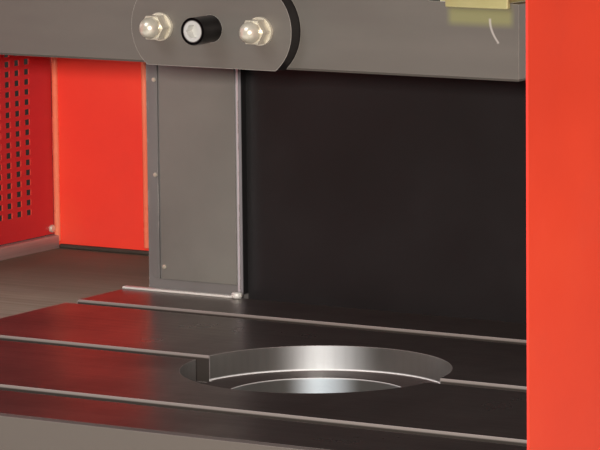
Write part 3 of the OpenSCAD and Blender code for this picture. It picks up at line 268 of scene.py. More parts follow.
def facing_axis(tree, axis):
    """1 on faces that look along X or Y, either way, and 0 on the others."""
    steep = add(tree, "ShaderNodeMath", {0: facing(tree, axis)}, operation="ABSOLUTE")
    return add(tree, "ShaderNodeMapRange", {"Value": steep.outputs[0], "From Min": 0.6,
        "From Max": 0.8}).outputs["Result"]


def edges(tree, width):
    """1 along the edges, from how far a normal rounded over width millimetres leans from the face's own."""
    rounded = add(tree, "ShaderNodeBevel", {"Radius": width * MM}, samples=6)
    plain = add(tree, "ShaderNodeNewGeometry")
    lean = add(tree, "ShaderNodeVectorMath", {0: rounded.outputs["Normal"],
        1: plain.outputs["True Normal"]}, operation="DOT_PRODUCT")
    return add(tree, "ShaderNodeMapRange", {"Value": lean.outputs["Value"], "From Min": 0.8,
        "From Max": 0.97, "To Min": 1.0, "To Max": 0.0}).outputs["Result"]


def mix_into(tree, socket, share, value):
    """Mixes a hex colour or a number into one of the shader's sockets, by a share from 0 to 1."""
    target = tree.nodes["Principled BSDF"].inputs[socket]
    before = target.links[0].from_socket if target.is_linked else target.default_value
    if isinstance(value, str):
        mixed = add(tree, "ShaderNodeMix", {0: share, 6: before, 7: linear(value)}, data_type="RGBA")
        tree.links.new(mixed.outputs[2], target)
    else:
        mixed = add(tree, "ShaderNodeMix", {0: share, 2: before, 3: value})
        tree.links.new(mixed.outputs[0], target)


def lay_over(made, share, colour=None, metallic=None, rough=None):
    """Lays another finish over a material where share is 1. What isn't given stays as it was."""
    for socket, value in (("Base Color", colour), ("Metallic", metallic), ("Roughness", rough)):
        if value is not None:
            mix_into(made.node_tree, socket, share, value)


# %% The guards' two sides: painted shade on the inner faces
def inner_side(tree):
    """1 on faces that look towards the middle of the press, left or right of it."""
    side = add(tree, "ShaderNodeMath", {0: coordinates(tree)[0]}, operation="SIGN").outputs[0]
    outwards = times(tree, facing(tree, "X"), side)
    return add(tree, "ShaderNodeMapRange", {"Value": outwards, "From Min": 0.3,
        "From Max": -0.3}).outputs["Result"]


# The faces towards the middle are painted a darker crimson: painted shade, as if less light reached them.
inner_painted_shade = times(guard_enamel.node_tree, inner_side(guard_enamel.node_tree), 0.93)
lay_over(guard_enamel, inner_painted_shade, "#c92930")

# %% Painted shade inside the throat, and wear and a painted highlight on its edges
bolster_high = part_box("bolster")[1]
post_edge = -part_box("side_frame_left")[1].x / MM
throat_face = bolster_high.y / MM + 38
bolster_top = bolster_high.z / MM
bolster_rear = bolster_high.y / MM
bolster_side = bolster_high.x / MM
throat_opening = 390


def worn_frame():
    """The frame's enamel: painted shade inside the throat, and worn steel with a painted highlight on its
    edges.
    """
    made = enamel("grey_enamel_throat_shade_and_highlight", "#7a7674", "#837f7c", "#706c6a", 0.42)
    tree = made.node_tree
    x, y, z = coordinates(tree)
    across = add(tree, "ShaderNodeMath", {0: x}, operation="ABSOLUTE").outputs[0]
    inner = times(tree, facing_axis(tree, "X"), band(tree, across, post_edge - 2, post_edge + 2))
    opening = band(tree, z, bolster_top - 5, bolster_top + throat_opening)
    # The inner faces inside the throat opening are painted near black: painted shade in the throat.
    lay_over(made, times(tree, inner, opening), "#181617")
    # A strip along their front edge is painted near white: partly rubbed steel, partly a painted highlight.
    edge = times(tree, band(tree, across, post_edge - 2, post_edge + 2.4),
        band(tree, y, throat_face - 2, throat_face + 5))
    lay_over(made, times(tree, edge, opening), "#faf3f9", 0.6)
    return made


def foot_dust(made, reach=260):
    """Dust from the floor, thickest at the foot and gone at reach millimetres."""
    tree = made.node_tree
    place = add(tree, "ShaderNodeTexCoord").outputs["Object"]
    low = add(tree, "ShaderNodeMapRange", {"Value": coordinates(tree)[2], "From Max": reach * MM,
        "To Min": 0.75, "To Max": 0.0}).outputs["Result"]
    drift = add(tree, "ShaderNodeTexNoise", {"Vector": place, "Scale": 1 / (60 * MM), "Detail": 6})
    lay_over(made, times(tree, low, drift.outputs["Fac"]), "#a99e8f")
    lay_over(made, low, rough=0.8)


def chipped(made, colour, width=2.0):
    """Paint knocked off the edges here and there, down to the primer."""
    tree = made.node_tree
    place = add(tree, "ShaderNodeTexCoord").outputs["Object"]
    knocks = add(tree, "ShaderNodeTexNoise", {"Vector": place, "Scale": 1 / (28 * MM), "Detail": 4})
    bare = add(tree, "ShaderNodeMapRange",
        {"Value": knocks.outputs["Fac"], "From Min": 0.52, "From Max": 0.57})
    lay_over(made, times(tree, edges(tree, width), bare.outputs["Result"]), colour)


frame_enamel = worn_frame()
for made in (frame_enamel, grey_enamel):
    foot_dust(made)
    chipped(made, "#b8b3ac")
print("throat edges at x = +-", round(post_edge, 1), "and y =", round(throat_face, 1))

# %% [markdown]
# ## Steel
#
# Ground steel keeps the fine parallel scratches of the grinding wheel. They are drawn coarser than the real
# ones, about two millimetres apart, so that they show. A film of oil makes broad soft patches, darker and
# smoother than the bare metal.

# %% Ground, turned and plated metals
def metal(name, main, light, dark, rough, grain=(600, 2, 2), oil=0.0, metallic=1.0, oil_colour="#423936"):
    """Steel with stretched scratches of grain millimetres in X, Y and Z, and oil patches."""
    made, tree, shader = new_material(name)
    place = add(tree, "ShaderNodeTexCoord").outputs["Object"]
    along = add(tree, "ShaderNodeMapping",
        {"Vector": place, "Scale": tuple(1 / (g * MM) for g in grain)})
    scratch = add(tree, "ShaderNodeTexNoise", {"Vector": along.outputs["Vector"], "Scale": 1.0, "Detail": 3})
    patch = add(tree, "ShaderNodeTexNoise",
        {"Vector": place, "Scale": 1 / (120 * MM), "Detail": 6, "Roughness": 0.6})
    tone = add(tree, "ShaderNodeValToRGB", {"Fac": scratch.outputs["Fac"]},
        [(0.25, dark), (0.5, main), (0.78, light)])
    film = add(tree, "ShaderNodeMapRange",
        {"Value": patch.outputs["Fac"], "From Min": 0.42, "From Max": 0.68, "To Max": oil})
    colour = add(tree, "ShaderNodeMix", {0: film.outputs["Result"], 6: tone.outputs["Color"],
        7: linear(oil_colour)}, data_type="RGBA")
    tree.links.new(colour.outputs[2], shader.inputs["Base Color"])
    shader.inputs["Metallic"].default_value = metallic
    dull = add(tree, "ShaderNodeMapRange",
        {"Value": patch.outputs["Fac"], "To Min": rough - 0.1, "To Max": rough + 0.12})
    tree.links.new(dull.outputs["Result"], shader.inputs["Roughness"])
    bump = add(tree, "ShaderNodeBump",
        {"Height": scratch.outputs["Fac"], "Strength": 0.15, "Distance": 0.0003})
    tree.links.new(bump.outputs["Normal"], shader.inputs["Normal"])
    return made


ram_steel = metal("ground_ram_steel", "#716b64", "#777069", "#6c655f", 0.5, (160, 160, 30), 0.18, 0.35,
    "#615a54")
# The ram's edges are painted lighter: a painted highlight along the chamfers.
lay_over(ram_steel, edges(ram_steel.node_tree, 1.5), "#928a81")
# The faces that look sideways are painted lighter: a painted highlight on the ram's ends.
lay_over(ram_steel, facing_axis(ram_steel.node_tree, "X"), "#9ba09a")
yellow_reflection_x = (214, 270)
yellow_reflection_z = (1213, 1226)
scratch_x = 250.5
scratch_bow = 7
scratch_z = (1199, 1218)


def ram_marks(made):
    """A painted yellow reflection under a clamp block, and one bowed scratch that die changes left."""
    tree = made.node_tree
    x, _, z = coordinates(tree)
    # A yellow patch under the clamp block: a painted reflection of the yellow block in the ram's face.
    yellow_reflection = times(tree, band(tree, x, *yellow_reflection_x, 3), band(tree, z, *yellow_reflection_z, 3))
    lay_over(made, times(tree, yellow_reflection, 0.45), "#a9a761")
    down = add(tree, "ShaderNodeMapRange", {"Value": z, "From Min": (scratch_z[1] - 1) * MM,
        "From Max": (scratch_z[0] + 1) * MM}).outputs["Result"]
    bow = add(tree, "ShaderNodeMath", {0: times(tree, down, down), 1: scratch_bow * MM, 2: scratch_x * MM},
        operation="MULTIPLY_ADD")
    off = add(tree, "ShaderNodeMath", {0: x, 1: bow.outputs[0]}, operation="SUBTRACT").outputs[0]
    scratch = times(tree, band(tree, off, -0.9, 0.9, 0.5), band(tree, z, *scratch_z))
    lay_over(made, times(tree, scratch, 0.7), "#ccc3bb")


ram_marks(ram_steel)
turned_steel = metal("bright_turned_steel", "#c6c5c2", "#dad9d5", "#acaaa7", 0.28, (2, 2, 300), 0.2)
# The strip's near-white finish is a painted highlight on the bolster's rear edge.
bright_strip_highlight = metal("near_white_strip_highlight", "#efece5", "#f6f3ec", "#e2ded6", 0.35, (200, 20, 20), 0.05, 0.15)
zinc_plate = metal("bright_zinc_plate", "#e6decb", "#f2ebda", "#d3cab6", 0.27, (20, 3, 20), 0.12, 0.5)
yellow_zinc = metal("yellow_passivated_zinc", "#ccc288", "#dcd39c", "#b2a76a", 0.34, (60, 60, 60), 0.3, 0.5,
    oil_colour="#988654")
# White along the edges: a painted highlight.
lay_over(yellow_zinc, edges(yellow_zinc.node_tree, 1.4), "#fffff6")
black_oxide = metal("oiled_black_oxide", "#2f2e30", "#403f41", "#201f21", 0.3, (30, 30, 30), 0.2)
cast_steel = metal("machined_cast_iron", "#777572", "#868482", "#656361", 0.42, (3, 3, 3), 0.3, 0.8)
bronze = metal("bearing_bronze", "#ba8d45", "#cea157", "#9d7536", 0.3, (3, 60, 60), 0.25)


def cap_finish():
    """The clamp cap: ground on its face, with painted shade on its rim and a painted highlight on its edge."""
    made = metal("ground_cap_steel_painted_light", "#726c65", "#79726b", "#6c655f", 0.46, (160, 160, 30), 0.18, 0.35,
        "#615a54")
    tree = made.node_tree
    # The rim is painted near black as shade on the side walls; the edge is painted light as a highlight.
    rim = add(tree, "ShaderNodeMath", {0: 1.0, 1: facing_axis(tree, "Y")}, operation="SUBTRACT").outputs[0]
    lay_over(made, rim, "#201d1e")
    lay_over(made, edges(tree, 0.8), "#ccc4bc")
    return made


def screw_finish():
    """Oiled black screw whose end and socket are painted bright: partly a worn end, partly a highlight."""
    made = metal("black_screw_worn_end_and_highlight", "#262528", "#363538", "#19181a", 0.3, (30, 30, 30), 0.2)
    tree = made.node_tree
    low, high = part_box("jack_screw")
    x, _, z = coordinates(tree)
    flat = add(tree, "ShaderNodeCombineXYZ", {"X": x, "Y": 0.0, "Z": z})
    middle = ((low.x + high.x) / 2, 0, (low.z + high.z) / 2)
    radius = add(tree, "ShaderNodeVectorMath", {0: flat.outputs["Vector"], 1: middle}, operation="DISTANCE")
    # The end face and the socket are painted light: partly a worn end, partly a painted highlight.
    lay_over(made, band(tree, radius.outputs["Value"], -5, 8.6), "#cfcdc8", 0.3)
    return made


cap_steel = cap_finish()
screw_steel = screw_finish()


def table_finish():
    """Table steel that old oil has turned brown, darker towards its rear corner as painted shade."""
    made = metal("oil_brown_table_steel", "#a4a18d", "#b1ae9a", "#928f7b", 0.7, (300, 8, 300), 0.3, 0.05,
        "#7d7560")
    tree = made.node_tree
    # Darker towards the rear corner: painted shade from the guard and the rear sheet.
    rear = add(tree, "ShaderNodeMapRange", {"Value": coordinates(tree)[1], "From Min": 200 * MM,
        "From Max": 400 * MM, "To Max": 0.85})
    lay_over(made, rear.outputs["Result"], "#5a5745")
    return made


table_steel = table_finish()

# %% [markdown]
# ## The bolster's ground face
#
# The bolster is the plate with the T-slots. It is ground across its width and then oiled, so that it mirrors
# the dark throat and the red plates at a low angle. The walls of the slots are only milled, and the front face
# looks lighter; inside the slots the walls are painted dark as shade, with a painted highlight along their top.
# The seat and the bore were turned: they are dark with oil, and their far side is painted bright as a
# highlight, with a white painted highlight at the foot of the seat's wall. Every edge is painted lighter,
# partly wear from the dies that slide over it and partly a painted highlight.

# %% Bolster steel
seat_radius = 115.5
seat_floor = bolster_top - 22
bore_radius = 90
# The direction whose side of the seat and bore gets a painted highlight.
highlight_towards = (-0.46, 0.888, 0)


def bolster_finish():
    """Oiled ground steel with milled walls, a turned seat and bore, painted shade and painted highlights."""
    made = metal("oiled_ground_steel", "#6e6460", "#7f746e", "#5c544f", 0.3, (900, 1.6, 1.6), 0.5, 0.7,
        "#4d4441")
    tree = made.node_tree
    x, y, z = coordinates(tree)
    flat = add(tree, "ShaderNodeCombineXYZ", {"X": x, "Y": y})
    radius = add(tree, "ShaderNodeVectorMath", {0: flat.outputs["Vector"]},
        operation="LENGTH").outputs["Value"]
    walls = upright(tree)
    lay_over(made, walls, "#746b63", 0.25, 0.5)
    slot_top_highlight = times(tree, walls, band(tree, z, bolster_top - 2.4, bolster_top + 5))
    inner = band(tree, y, -bolster_rear - 2, bolster_rear - 1)
    # Inside the slots the walls are painted dark as shade; their top few millimetres are painted light as a
    # highlight.
    lay_over(made, times(tree, walls, inner), "#3f3934")
    lay_over(made, times(tree, slot_top_highlight, inner), "#9f958f")
    within_seat = band(tree, radius, -10, seat_radius + 0.5)
    turned = times(tree, within_seat, walls)
    outwards = add(tree, "ShaderNodeVectorMath", {0: flat.outputs["Vector"]}, operation="NORMALIZE")
    highlight_side = add(tree, "ShaderNodeVectorMath", {0: outwards.outputs["Vector"], 1: highlight_towards},
        operation="DOT_PRODUCT").outputs["Value"]
    share = add(tree, "ShaderNodeMapRange",
        {"Value": highlight_side, "From Min": 0.9, "From Max": 1.0}).outputs["Result"]
    lay_over(made, turned, "#8b8884", 0.75, 0.3)
    # The turned walls are painted near white on the side that faces one fixed direction: a painted highlight.
    painted_far_highlight = times(tree, turned, times(tree, share, share))
    lay_over(made, painted_far_highlight, "#dcdee0", 0.35)
    lay_over(made, times(tree, painted_far_highlight, band(tree, radius, -10, bore_radius)), "#d0dbe3")
    lay_over(made, times(tree, within_seat, band(tree, z, seat_floor - 1, seat_floor + 1)), rough=0.6)
    # A thin white ring at the foot of the seat's wall: a painted highlight.
    lay_over(made, times(tree, band(tree, z, seat_floor - 0.5, seat_floor + 1.2), turned), "#ffffff", 0.0)
    # Every edge is painted lighter: partly wear, partly a painted highlight.
    lay_over(made, times(tree, edges(tree, 1.2), 0.8), "#ccbfbc", 0.3)
    return made


bolster_steel = bolster_finish()
print("bolster face at", round(bolster_high.z, 4))

# %% [markdown]
# ## Rubber and plastic
#
# Drive belts are moulded rubber, dull and slightly dusty. Buttons are moulded plastic with a soft shine. The
# lubricator's cup is milky plastic: the oil shows through it as a darker band, and it has a black cap.

# %% Rubber and plastics
def moulded(name, main, light, rough, grain=4.0):
    """Moulded rubber or plastic with a fine leather-like grain."""
    made, tree, shader = new_material(name)
    place = add(tree, "ShaderNodeTexCoord").outputs["Object"]
    cloud = add(tree, "ShaderNodeTexNoise", {"Vector": place, "Scale": 1 / (30 * MM), "Detail": 4})
    tone = add(tree, "ShaderNodeValToRGB", {"Fac": cloud.outputs["Fac"]}, [(0.35, main), (0.7, light)])
    tree.links.new(tone.outputs["Color"], shader.inputs["Base Color"])
    shader.inputs["Roughness"].default_value = rough
    pores = add(tree, "ShaderNodeTexNoise", {"Vector": place, "Scale": 1 / (grain * MM), "Detail": 3})
    bump = add(tree, "ShaderNodeBump", {"Height": pores.outputs["Fac"], "Strength": 0.1, "Distance": 0.0003})
    tree.links.new(bump.outputs["Normal"], shader.inputs["Normal"])
    return made


belt_rubber = moulded("drive_belt_rubber", "#1f1e1e", "#302e2d", 0.75)
green_plastic = moulded("green_button_plastic", "#207641", "#26844c", 0.32)
red_plastic = moulded("red_button_plastic", "#ca221d", "#da2e25", 0.3)
black_plastic = moulded("black_moulded_plastic", "#1c1c1c", "#262626", 0.45)
pale_plastic = moulded("pale_moulded_plastic", "#dddbcf", "#e8e6db", 0.4)
yellow_plastic = moulded("yellow_collar_plastic", "#efb616", "#f6c22e", 0.35)
reservoir_plastic = moulded("milky_reservoir_plastic", "#e4e0d1", "#f1eedf", 0.35)

# %% The lubricator's oil and cap
lube_low, lube_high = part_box("lubricator")
oil_level = (121, 152)
cap_height = 41
tree = reservoir_plastic.node_tree
cup = coordinates(tree)[2]
oil_line = band(tree, cup, lube_low.z / MM + oil_level[0], lube_low.z / MM + oil_level[1])
lay_over(reservoir_plastic, oil_line, "#b9802e")
cap_line = band(tree, cup, lube_high.z / MM - cap_height, lube_high.z / MM + 2)
lay_over(reservoir_plastic, cap_line, "#2a2a2e")

# %% Finishes of the CAD nodes
finishes = {
    frame_enamel: ["side_frame_left", "side_frame_right"],
    grey_enamel: ["bed", "crown_front_plate", "crank_wall", "rear_wall", "crown_top_cover", "motor_shelf",
        "motor", "flywheel_quill", "balance_cylinders", "air_tank", "console"],
    red_enamel: ["rear_guard_left", "rear_guard_right", "side_guard_left", "side_guard_right", "belt_guard",
        "angle_pointer"],
    ram_steel: ["ram", "gib_left", "gib_right"],
    cap_steel: ["shank_clamp"],
    screw_steel: ["jack_screw"],
    turned_steel: ["crankshaft", "balance_rods", "knockout_bar", "motor_rotor", "flywheel_bearings",
        "adjusting_screw", "guard_hinge_leaves"],
    zinc_plate: ["clamp_studs"],
    yellow_zinc: ["rod_clamps"],
    black_oxide: ["frame_bolts", "gib_bolts", "rod_bolts", "lifting_eyes"],
    black_enamel: ["throat_back_plate", "clutch_brake"],
    table_steel: ["wing_table_left", "wing_table_right"],
    cast_steel: ["connecting_rod", "rod_cap", "flywheel", "motor_pulley"],
    bronze: ["crank_bushes", "ball_pad"],
    belt_rubber: ["drive_belts"],
    green_plastic: ["palm_button_left", "palm_button_right"],
    red_plastic: ["emergency_stop", "main_switch"],
    black_plastic: ["selector_knob", "door_handle"],
    reservoir_plastic: ["lubricator"],
    cabinet_coat: ["electric_cabinet", "cabinet_door"],
    dial_enamel: ["angle_dial"],
    bolster_steel: ["bolster"],
}
for finish, names in finishes.items():
    for name in names:
        nodes[name].data.materials.clear()
        nodes[name].data.materials.append(finish)
unpainted = sorted(set(nodes) - {name for names in finishes.values() for name in names})
print("nodes without a finish:", unpainted)

# %% [markdown]
# ## Helpers for new pieces
#
# A new piece starts as a primitive, is shaped in edit mode, and ends with its place in its mesh and its
# object at the origin. That last step matters, because the patterns above are measured from the origin.

# %% Helpers for new pieces
both_sides = ((-1, "left"), (1, "right"))
axis_turns = {"X": (0, math.pi / 2, 0), "Y": (math.pi / 2, 0, 0), "Z": (0, 0, 0)}


def active():
    """The object that the last operator made or worked on."""
    return bpy.context.active_object


def settle():
    """Puts the active piece's place, turn and size into its mesh."""
    bpy.ops.object.transform_apply(location=True, rotation=True, scale=True)
    return active()


def box_piece(low, high):
    """A cube primitive stretched between two corners in millimetres."""
    deselect()
    low, high = Vector(low) * MM, Vector(high) * MM
    bpy.ops.mesh.primitive_cube_add(size=1, location=(low + high) / 2, scale=high - low)
    return settle()


def round_piece(place, radius, depth, axis="Z", sides=48):
    """A cylinder primitive centred on a point, in millimetres, along X, Y or Z."""
    deselect()
    bpy.ops.mesh.primitive_cylinder_add(vertices=sides, radius=radius * MM, depth=depth * MM,
        location=Vector(place) * MM, rotation=axis_turns[axis])
    return settle()


def bevel(piece, width, segments=2, angle=35):
    """Rounds the sharp edges by width millimetres and applies it."""
    rounding = piece.modifiers.new("rounding", "BEVEL")
    rounding.width = width * MM
    rounding.segments = segments
    rounding.limit_method = "ANGLE"
    rounding.angle_limit = math.radians(angle)
    bpy.context.view_layer.objects.active = piece
    bpy.ops.object.modifier_apply(modifier=rounding.name)
    return piece


def join(pieces):
    """Joins several pieces into one object."""
    deselect()
    for piece in pieces:
        piece.select_set(True)
    bpy.context.view_layer.objects.active = pieces[0]
    bpy.ops.object.join()
    return active()


def finish_piece(name, piece, finish, body="press_frame"):
    """Names a piece, smooths it, gives it its material and lets it ride on its body."""
    piece.name = name
    deselect()
    piece.select_set(True)
    bpy.context.view_layer.objects.active = piece
    bpy.ops.object.shade_smooth_by_angle(angle=math.radians(35))
    piece.data.materials.clear()
    piece.data.materials.append(finish)
    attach(piece, body)
    print("made", piece.name, "with", len(piece.data.polygons), "faces")


def span(side, near, far):
    """The lowest and the highest X between two distances from the middle, on one side of the press."""
    return tuple(sorted((side * near, side * far)))


def centre(node):
    """The middle of a CAD node's box, in millimetres."""
    low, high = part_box(node)
    return (low + high) / 2 / MM


# %% [markdown]
# ## The perforated side guards
#
# Each side guard is a door of folded sheet whose middle is punched with rows of small oblong holes. The sheet
# between the holes is one grid: every cell is inset on its own and the inner faces are deleted. The inset is
# made while the cells have the wrong shape, chosen so that the holes come out longer than they are high once
# the grid is stretched to its real size.

# %% Guard sizes
rear_low, rear_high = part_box("rear_guard_right")
guard_low, guard_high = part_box("side_guard_right")
guard_face = rear_high.x / MM
plate_face = rear_low.y / MM
sheet = 1.5
rail_height = 7.5
gap_over_rail = 1
gap_at_plate = 3
border = {"front": 150.0, "rear": 34.0, "low": 22.0, "top": 44.0}
guard_y = (guard_low.y / MM, plate_face - gap_at_plate)
guard_z = (guard_low.z / MM + rail_height + gap_over_rail, guard_high.z / MM)
field_y = (guard_y[0] + border["front"], guard_y[1] - border["rear"])
field_z = (guard_z[0] + border["low"], guard_z[1] - border["top"])
hole_pitch = (16.6, 10.4)
columns = round((field_y[1] - field_y[0]) / hole_pitch[0])
rows = round((field_z[1] - field_z[0]) / hole_pitch[1])
print("guard holes:", columns, "by", rows)

# %% Perforated field
cell_stretch = 1.19
cell_inset = 0.25


def perforated_field(side):
    """The punched middle of a guard, as a thin sheet just inside the guard's outer face."""
    deselect()
    bpy.ops.mesh.primitive_grid_add(x_subdivisions=columns, y_subdivisions=rows, size=1)
    field = active()
    bpy.ops.object.mode_set(mode="EDIT")
    bpy.ops.mesh.select_all(action="SELECT")
    bpy.ops.transform.resize(value=(columns, rows * cell_stretch, 1))
    bpy.ops.mesh.inset(use_individual=True, thickness=cell_inset)
    bpy.ops.mesh.delete(type="FACE")
    bpy.ops.object.mode_set(mode="OBJECT")
    width = (field_y[1] - field_y[0]) * MM
    height = (field_z[1] - field_z[0]) * MM
    field.scale = (width / columns, height / rows / cell_stretch, 1)
    field.rotation_euler = (math.pi / 2, 0, math.pi / 2)
    field.location = (side * guard_face * MM, sum(field_y) / 2 * MM, sum(field_z) / 2 * MM)
    return settle()


# %% Folded border
top_fold = 17


def folded_border(side):
    """The border round the field, cut from one plane and folded inwards at its top edge."""
    deselect()
    bpy.ops.mesh.primitive_plane_add(size=1, rotation=(math.pi / 2, 0, math.pi / 2),
        location=(side * guard_face * MM, sum(guard_y) / 2 * MM, sum(guard_z) / 2 * MM))
    plate = active()
    plate.scale = ((guard_y[1] - guard_y[0]) * MM, (guard_z[1] - guard_z[0]) * MM, 1)
    settle()
    bpy.ops.object.mode_set(mode="EDIT")
    for value in field_y:
        bpy.ops.mesh.select_all(action="SELECT")
        bpy.ops.mesh.bisect(plane_co=(0, value * MM, 0), plane_no=(0, 1, 0))
    for value in field_z:
        bpy.ops.mesh.select_all(action="SELECT")
        bpy.ops.mesh.bisect(plane_co=(0, 0, value * MM), plane_no=(0, 0, 1))
    bpy.ops.object.mode_set(mode="OBJECT")
    middle = (sum(field_y) / 2 * MM, sum(field_z) / 2 * MM)
    for face in plate.data.polygons:
        face.select = abs(face.center.y - middle[0]) < 0.01 and abs(face.center.z - middle[1]) < 0.01
    bpy.ops.object.mode_set(mode="EDIT")
    bpy.ops.mesh.delete(type="FACE")
    bpy.ops.object.mode_set(mode="OBJECT")
    fold_edge(plate, 2, guard_z[1] * MM, -side * top_fold * MM)
    return plate


def fold_edge(plate, axis, place, length):
    """Extrudes the edges that lie at one place along an axis, by a length along X."""
    bpy.ops.object.mode_set(mode="EDIT")
    bpy.ops.mesh.select_mode(type="EDGE")
    bpy.ops.mesh.select_all(action="DESELECT")
    bpy.ops.object.mode_set(mode="OBJECT")
    points = plate.data.vertices
    for edge in plate.data.edges:
        edge.select = all(abs(points[i].co[axis] - place) < 1e-5 for i in edge.vertices) and all(
            abs(abs(points[i].co.x) - guard_face * MM) < 1e-5 for i in edge.vertices)
    bpy.ops.object.mode_set(mode="EDIT")
    bpy.ops.mesh.extrude_region_move(TRANSFORM_OT_translate={"value": (length, 0, 0)})
    bpy.ops.object.mode_set(mode="OBJECT")


# %% Thickness
def thicken(piece, side):
    """Gives a sheet its thickness, inwards from the guard's outer face."""
    bpy.context.view_layer.objects.active = piece
    bpy.ops.object.mode_set(mode="EDIT")
    bpy.ops.mesh.select_all(action="SELECT")
    bpy.ops.mesh.normals_make_consistent(inside=False)
    bpy.ops.object.mode_set(mode="OBJECT")
    wall = piece.modifiers.new("wall", "SOLIDIFY")
    wall.thickness = sheet * MM
    outwards = piece.data.polygons[0].normal.x * side > 0
    wall.offset = -1 if outwards else 1
    bpy.ops.object.modifier_apply(modifier="wall")
    return piece


# %% Hinge knuckles and grip
knuckle_radius = 8
knuckle_y = guard_high.y / MM - knuckle_radius
knuckle_z = (guard_z[0] + 130, guard_z[1] - 130)
leaf_height = 40
leaf_width = 30
grip_radius = 6
grip_reach = 28


def hinge_half(side):
    """The moving knuckles of a guard's two hinges, with their leaves and screws."""
    made = []
    leaf = span(side, guard_face - 1, guard_face + 3)
    for z in knuckle_z:
        made.append(bevel(round_piece((side * (guard_face + knuckle_radius), knuckle_y, z + leaf_height / 2),
            knuckle_radius, leaf_height - 1), 0.8))
        made.append(bevel(box_piece((leaf[0], knuckle_y - leaf_width, z + 0.5),
            (leaf[1], knuckle_y, z + leaf_height)), 0.8))
        for dz in (10, leaf_height - 10):
            made.append(bevel(round_piece((side * (guard_face + 4), knuckle_y - leaf_width + 10, z + dz),
                4.5, 3, "X", 24), 0.7))
    return join(made)


def grip(side):
    """A round bar on two feet, in the upper half of the door."""
    y = guard_y[0] + 70
    z = guard_z[0] + 0.62 * (guard_z[1] - guard_z[0])
    bar = bevel(round_piece((side * (guard_face + grip_reach), y, z), grip_radius, 132, sides=24), 3)
    feet = [round_piece((side * (guard_face + grip_reach / 2), y, z + dz), grip_radius, grip_reach, "X", 24)
        for dz in (-54, 54)]
    return join([bar] + feet)


# %% Both side guards
for side, word in both_sides:
    body = "guard_" + word
    sheetwork = join([thicken(perforated_field(side), side), thicken(folded_border(side), side)])
    finish_piece("guard_sheet_" + word, sheetwork, guard_enamel, body)
    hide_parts("side_guard_" + word)
    finish_piece("guard_hinge_knuckles_" + word, hinge_half(side), turned_steel, body)
    finish_piece("guard_grip_" + word, grip(side), black_plastic, body)

# %% [markdown]
# ## Trim round the work zone
#
# Small fittings finish the corners where the sheets, the frame and the bolster meet: thin liner plates on the
# posts, a bright strip screwed along the bolster's rear edge, a rail under each side guard, and the rolled
# hems of the red sheets. Each starts as a cube or a cylinder and gets its edges rounded, so that it catches
# the light.

# %% Liner plates on the posts
liner_top = bolster_top + 385
liner_foot = bolster_top + 5
liner_reach = (2.6, 89)
corner_strip_reach = (91, 102)
rivet_pitch = 92
rivet_reach = 94
first_rivet = 102
foot_rivet = (85, 12)


def rounded_corner(piece, x, z, radius):
    """Rounds one corner of an upright plate, at a place in X and Z in millimetres."""
    points = piece.data.vertices
    for edge in piece.data.edges:
        edge.select = all(abs(points[i].co.x - x * MM) < 1e-5 and abs(points[i].co.z - z * MM) < 1e-5
            for i in edge.vertices)
    bpy.ops.object.mode_set(mode="EDIT")
    bpy.ops.mesh.select_mode(type="EDGE")
    bpy.ops.mesh.bevel(offset=radius * MM, segments=6, affect="EDGES")
    bpy.ops.object.mode_set(mode="OBJECT")


def clean_cube(low, high):
    """A box piece with nothing selected in it."""
    piece = box_piece(low, high)
    bpy.ops.object.mode_set(mode="EDIT")
    bpy.ops.mesh.select_all(action="DESELECT")
    bpy.ops.object.mode_set(mode="OBJECT")
    return piece


def post_liner(side):
    """A narrow corner strip, a wide plate with a thin gap between them, and their rivets."""
    main_x, outer_x = [span(side, post_edge + near, post_edge + far)
        for near, far in (liner_reach, corner_strip_reach)]
    front = (throat_face - 2.5, throat_face)
    outer = clean_cube(*zip(outer_x, front, (liner_foot, liner_top)))
    rounded_corner(outer, side * (post_edge + corner_strip_reach[1]), liner_foot, 9)
    main = box_piece(*zip(main_x, front, (liner_foot, liner_top)))
    heights = range(int(liner_foot) + first_rivet, int(liner_top), rivet_pitch)
    places = [(post_edge + rivet_reach, z) for z in heights]
    places.append((post_edge + foot_rivet[0], liner_foot + foot_rivet[1]))
    rivets = [bevel(round_piece((side * x, throat_face - 3, z), 2.2, 2.4, "Y", 16), 0.8) for x, z in places]
    return bevel(outer, 0.7), bevel(main, 0.7), rivets


for side, word in both_sides:
    outer, main, rivets = post_liner(side)
    finish_piece("post_liner_" + word, main, liner_enamel)
    finish_piece("post_corner_strip_" + word, outer, frame_enamel)
    finish_piece("post_liner_rivets_" + word, join(rivets), zinc_plate)

# %% Edge strip on the bolster
strip_width = 7
strip_height = 2.2


def edge_strip(side):
    """A zinc strip on the bolster's rear edge, from its corner to the post's inner edge, with a screw."""
    inner = post_edge - 20
    x = span(side, inner, bolster_side)
    strip = bevel(box_piece((x[0], bolster_rear - strip_width, bolster_top),
        (x[1], bolster_rear, bolster_top + strip_height)), 0.7)
    screw = round_piece((side * (inner - 4), bolster_rear - 5, bolster_top + 3), 5.2, 6, "Z", 24)
    return join([strip, bevel(screw, 2.2, 4)])


for side, word in both_sides:
    # The strip's near-white finish stands in for a highlight on the bolster's rear edge: a painted highlight.
    finish_piece("bolster_edge_strip_" + word, edge_strip(side), bright_strip_highlight)

# %% Rails under the side guards
table_low, table_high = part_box("wing_table_left")
table_top = table_high.z / MM
rail_steel = metal("dull_rail_steel", "#b2a09a", "#c2afa9", "#a28f8a", 0.42, (200, 200, 3), 0.2, 0.4,
    "#7c6a64")


def guard_rail(side):
    """A bright rail along the table's outer edge, which the guard closes down on."""
    x = span(side, guard_face - 8, guard_face + 1)
    return bevel(box_piece((x[0], table_low.y / MM, table_top - 4),
        (x[1], table_high.y / MM - 2, guard_low.z / MM + rail_height)), 1.5, 3)


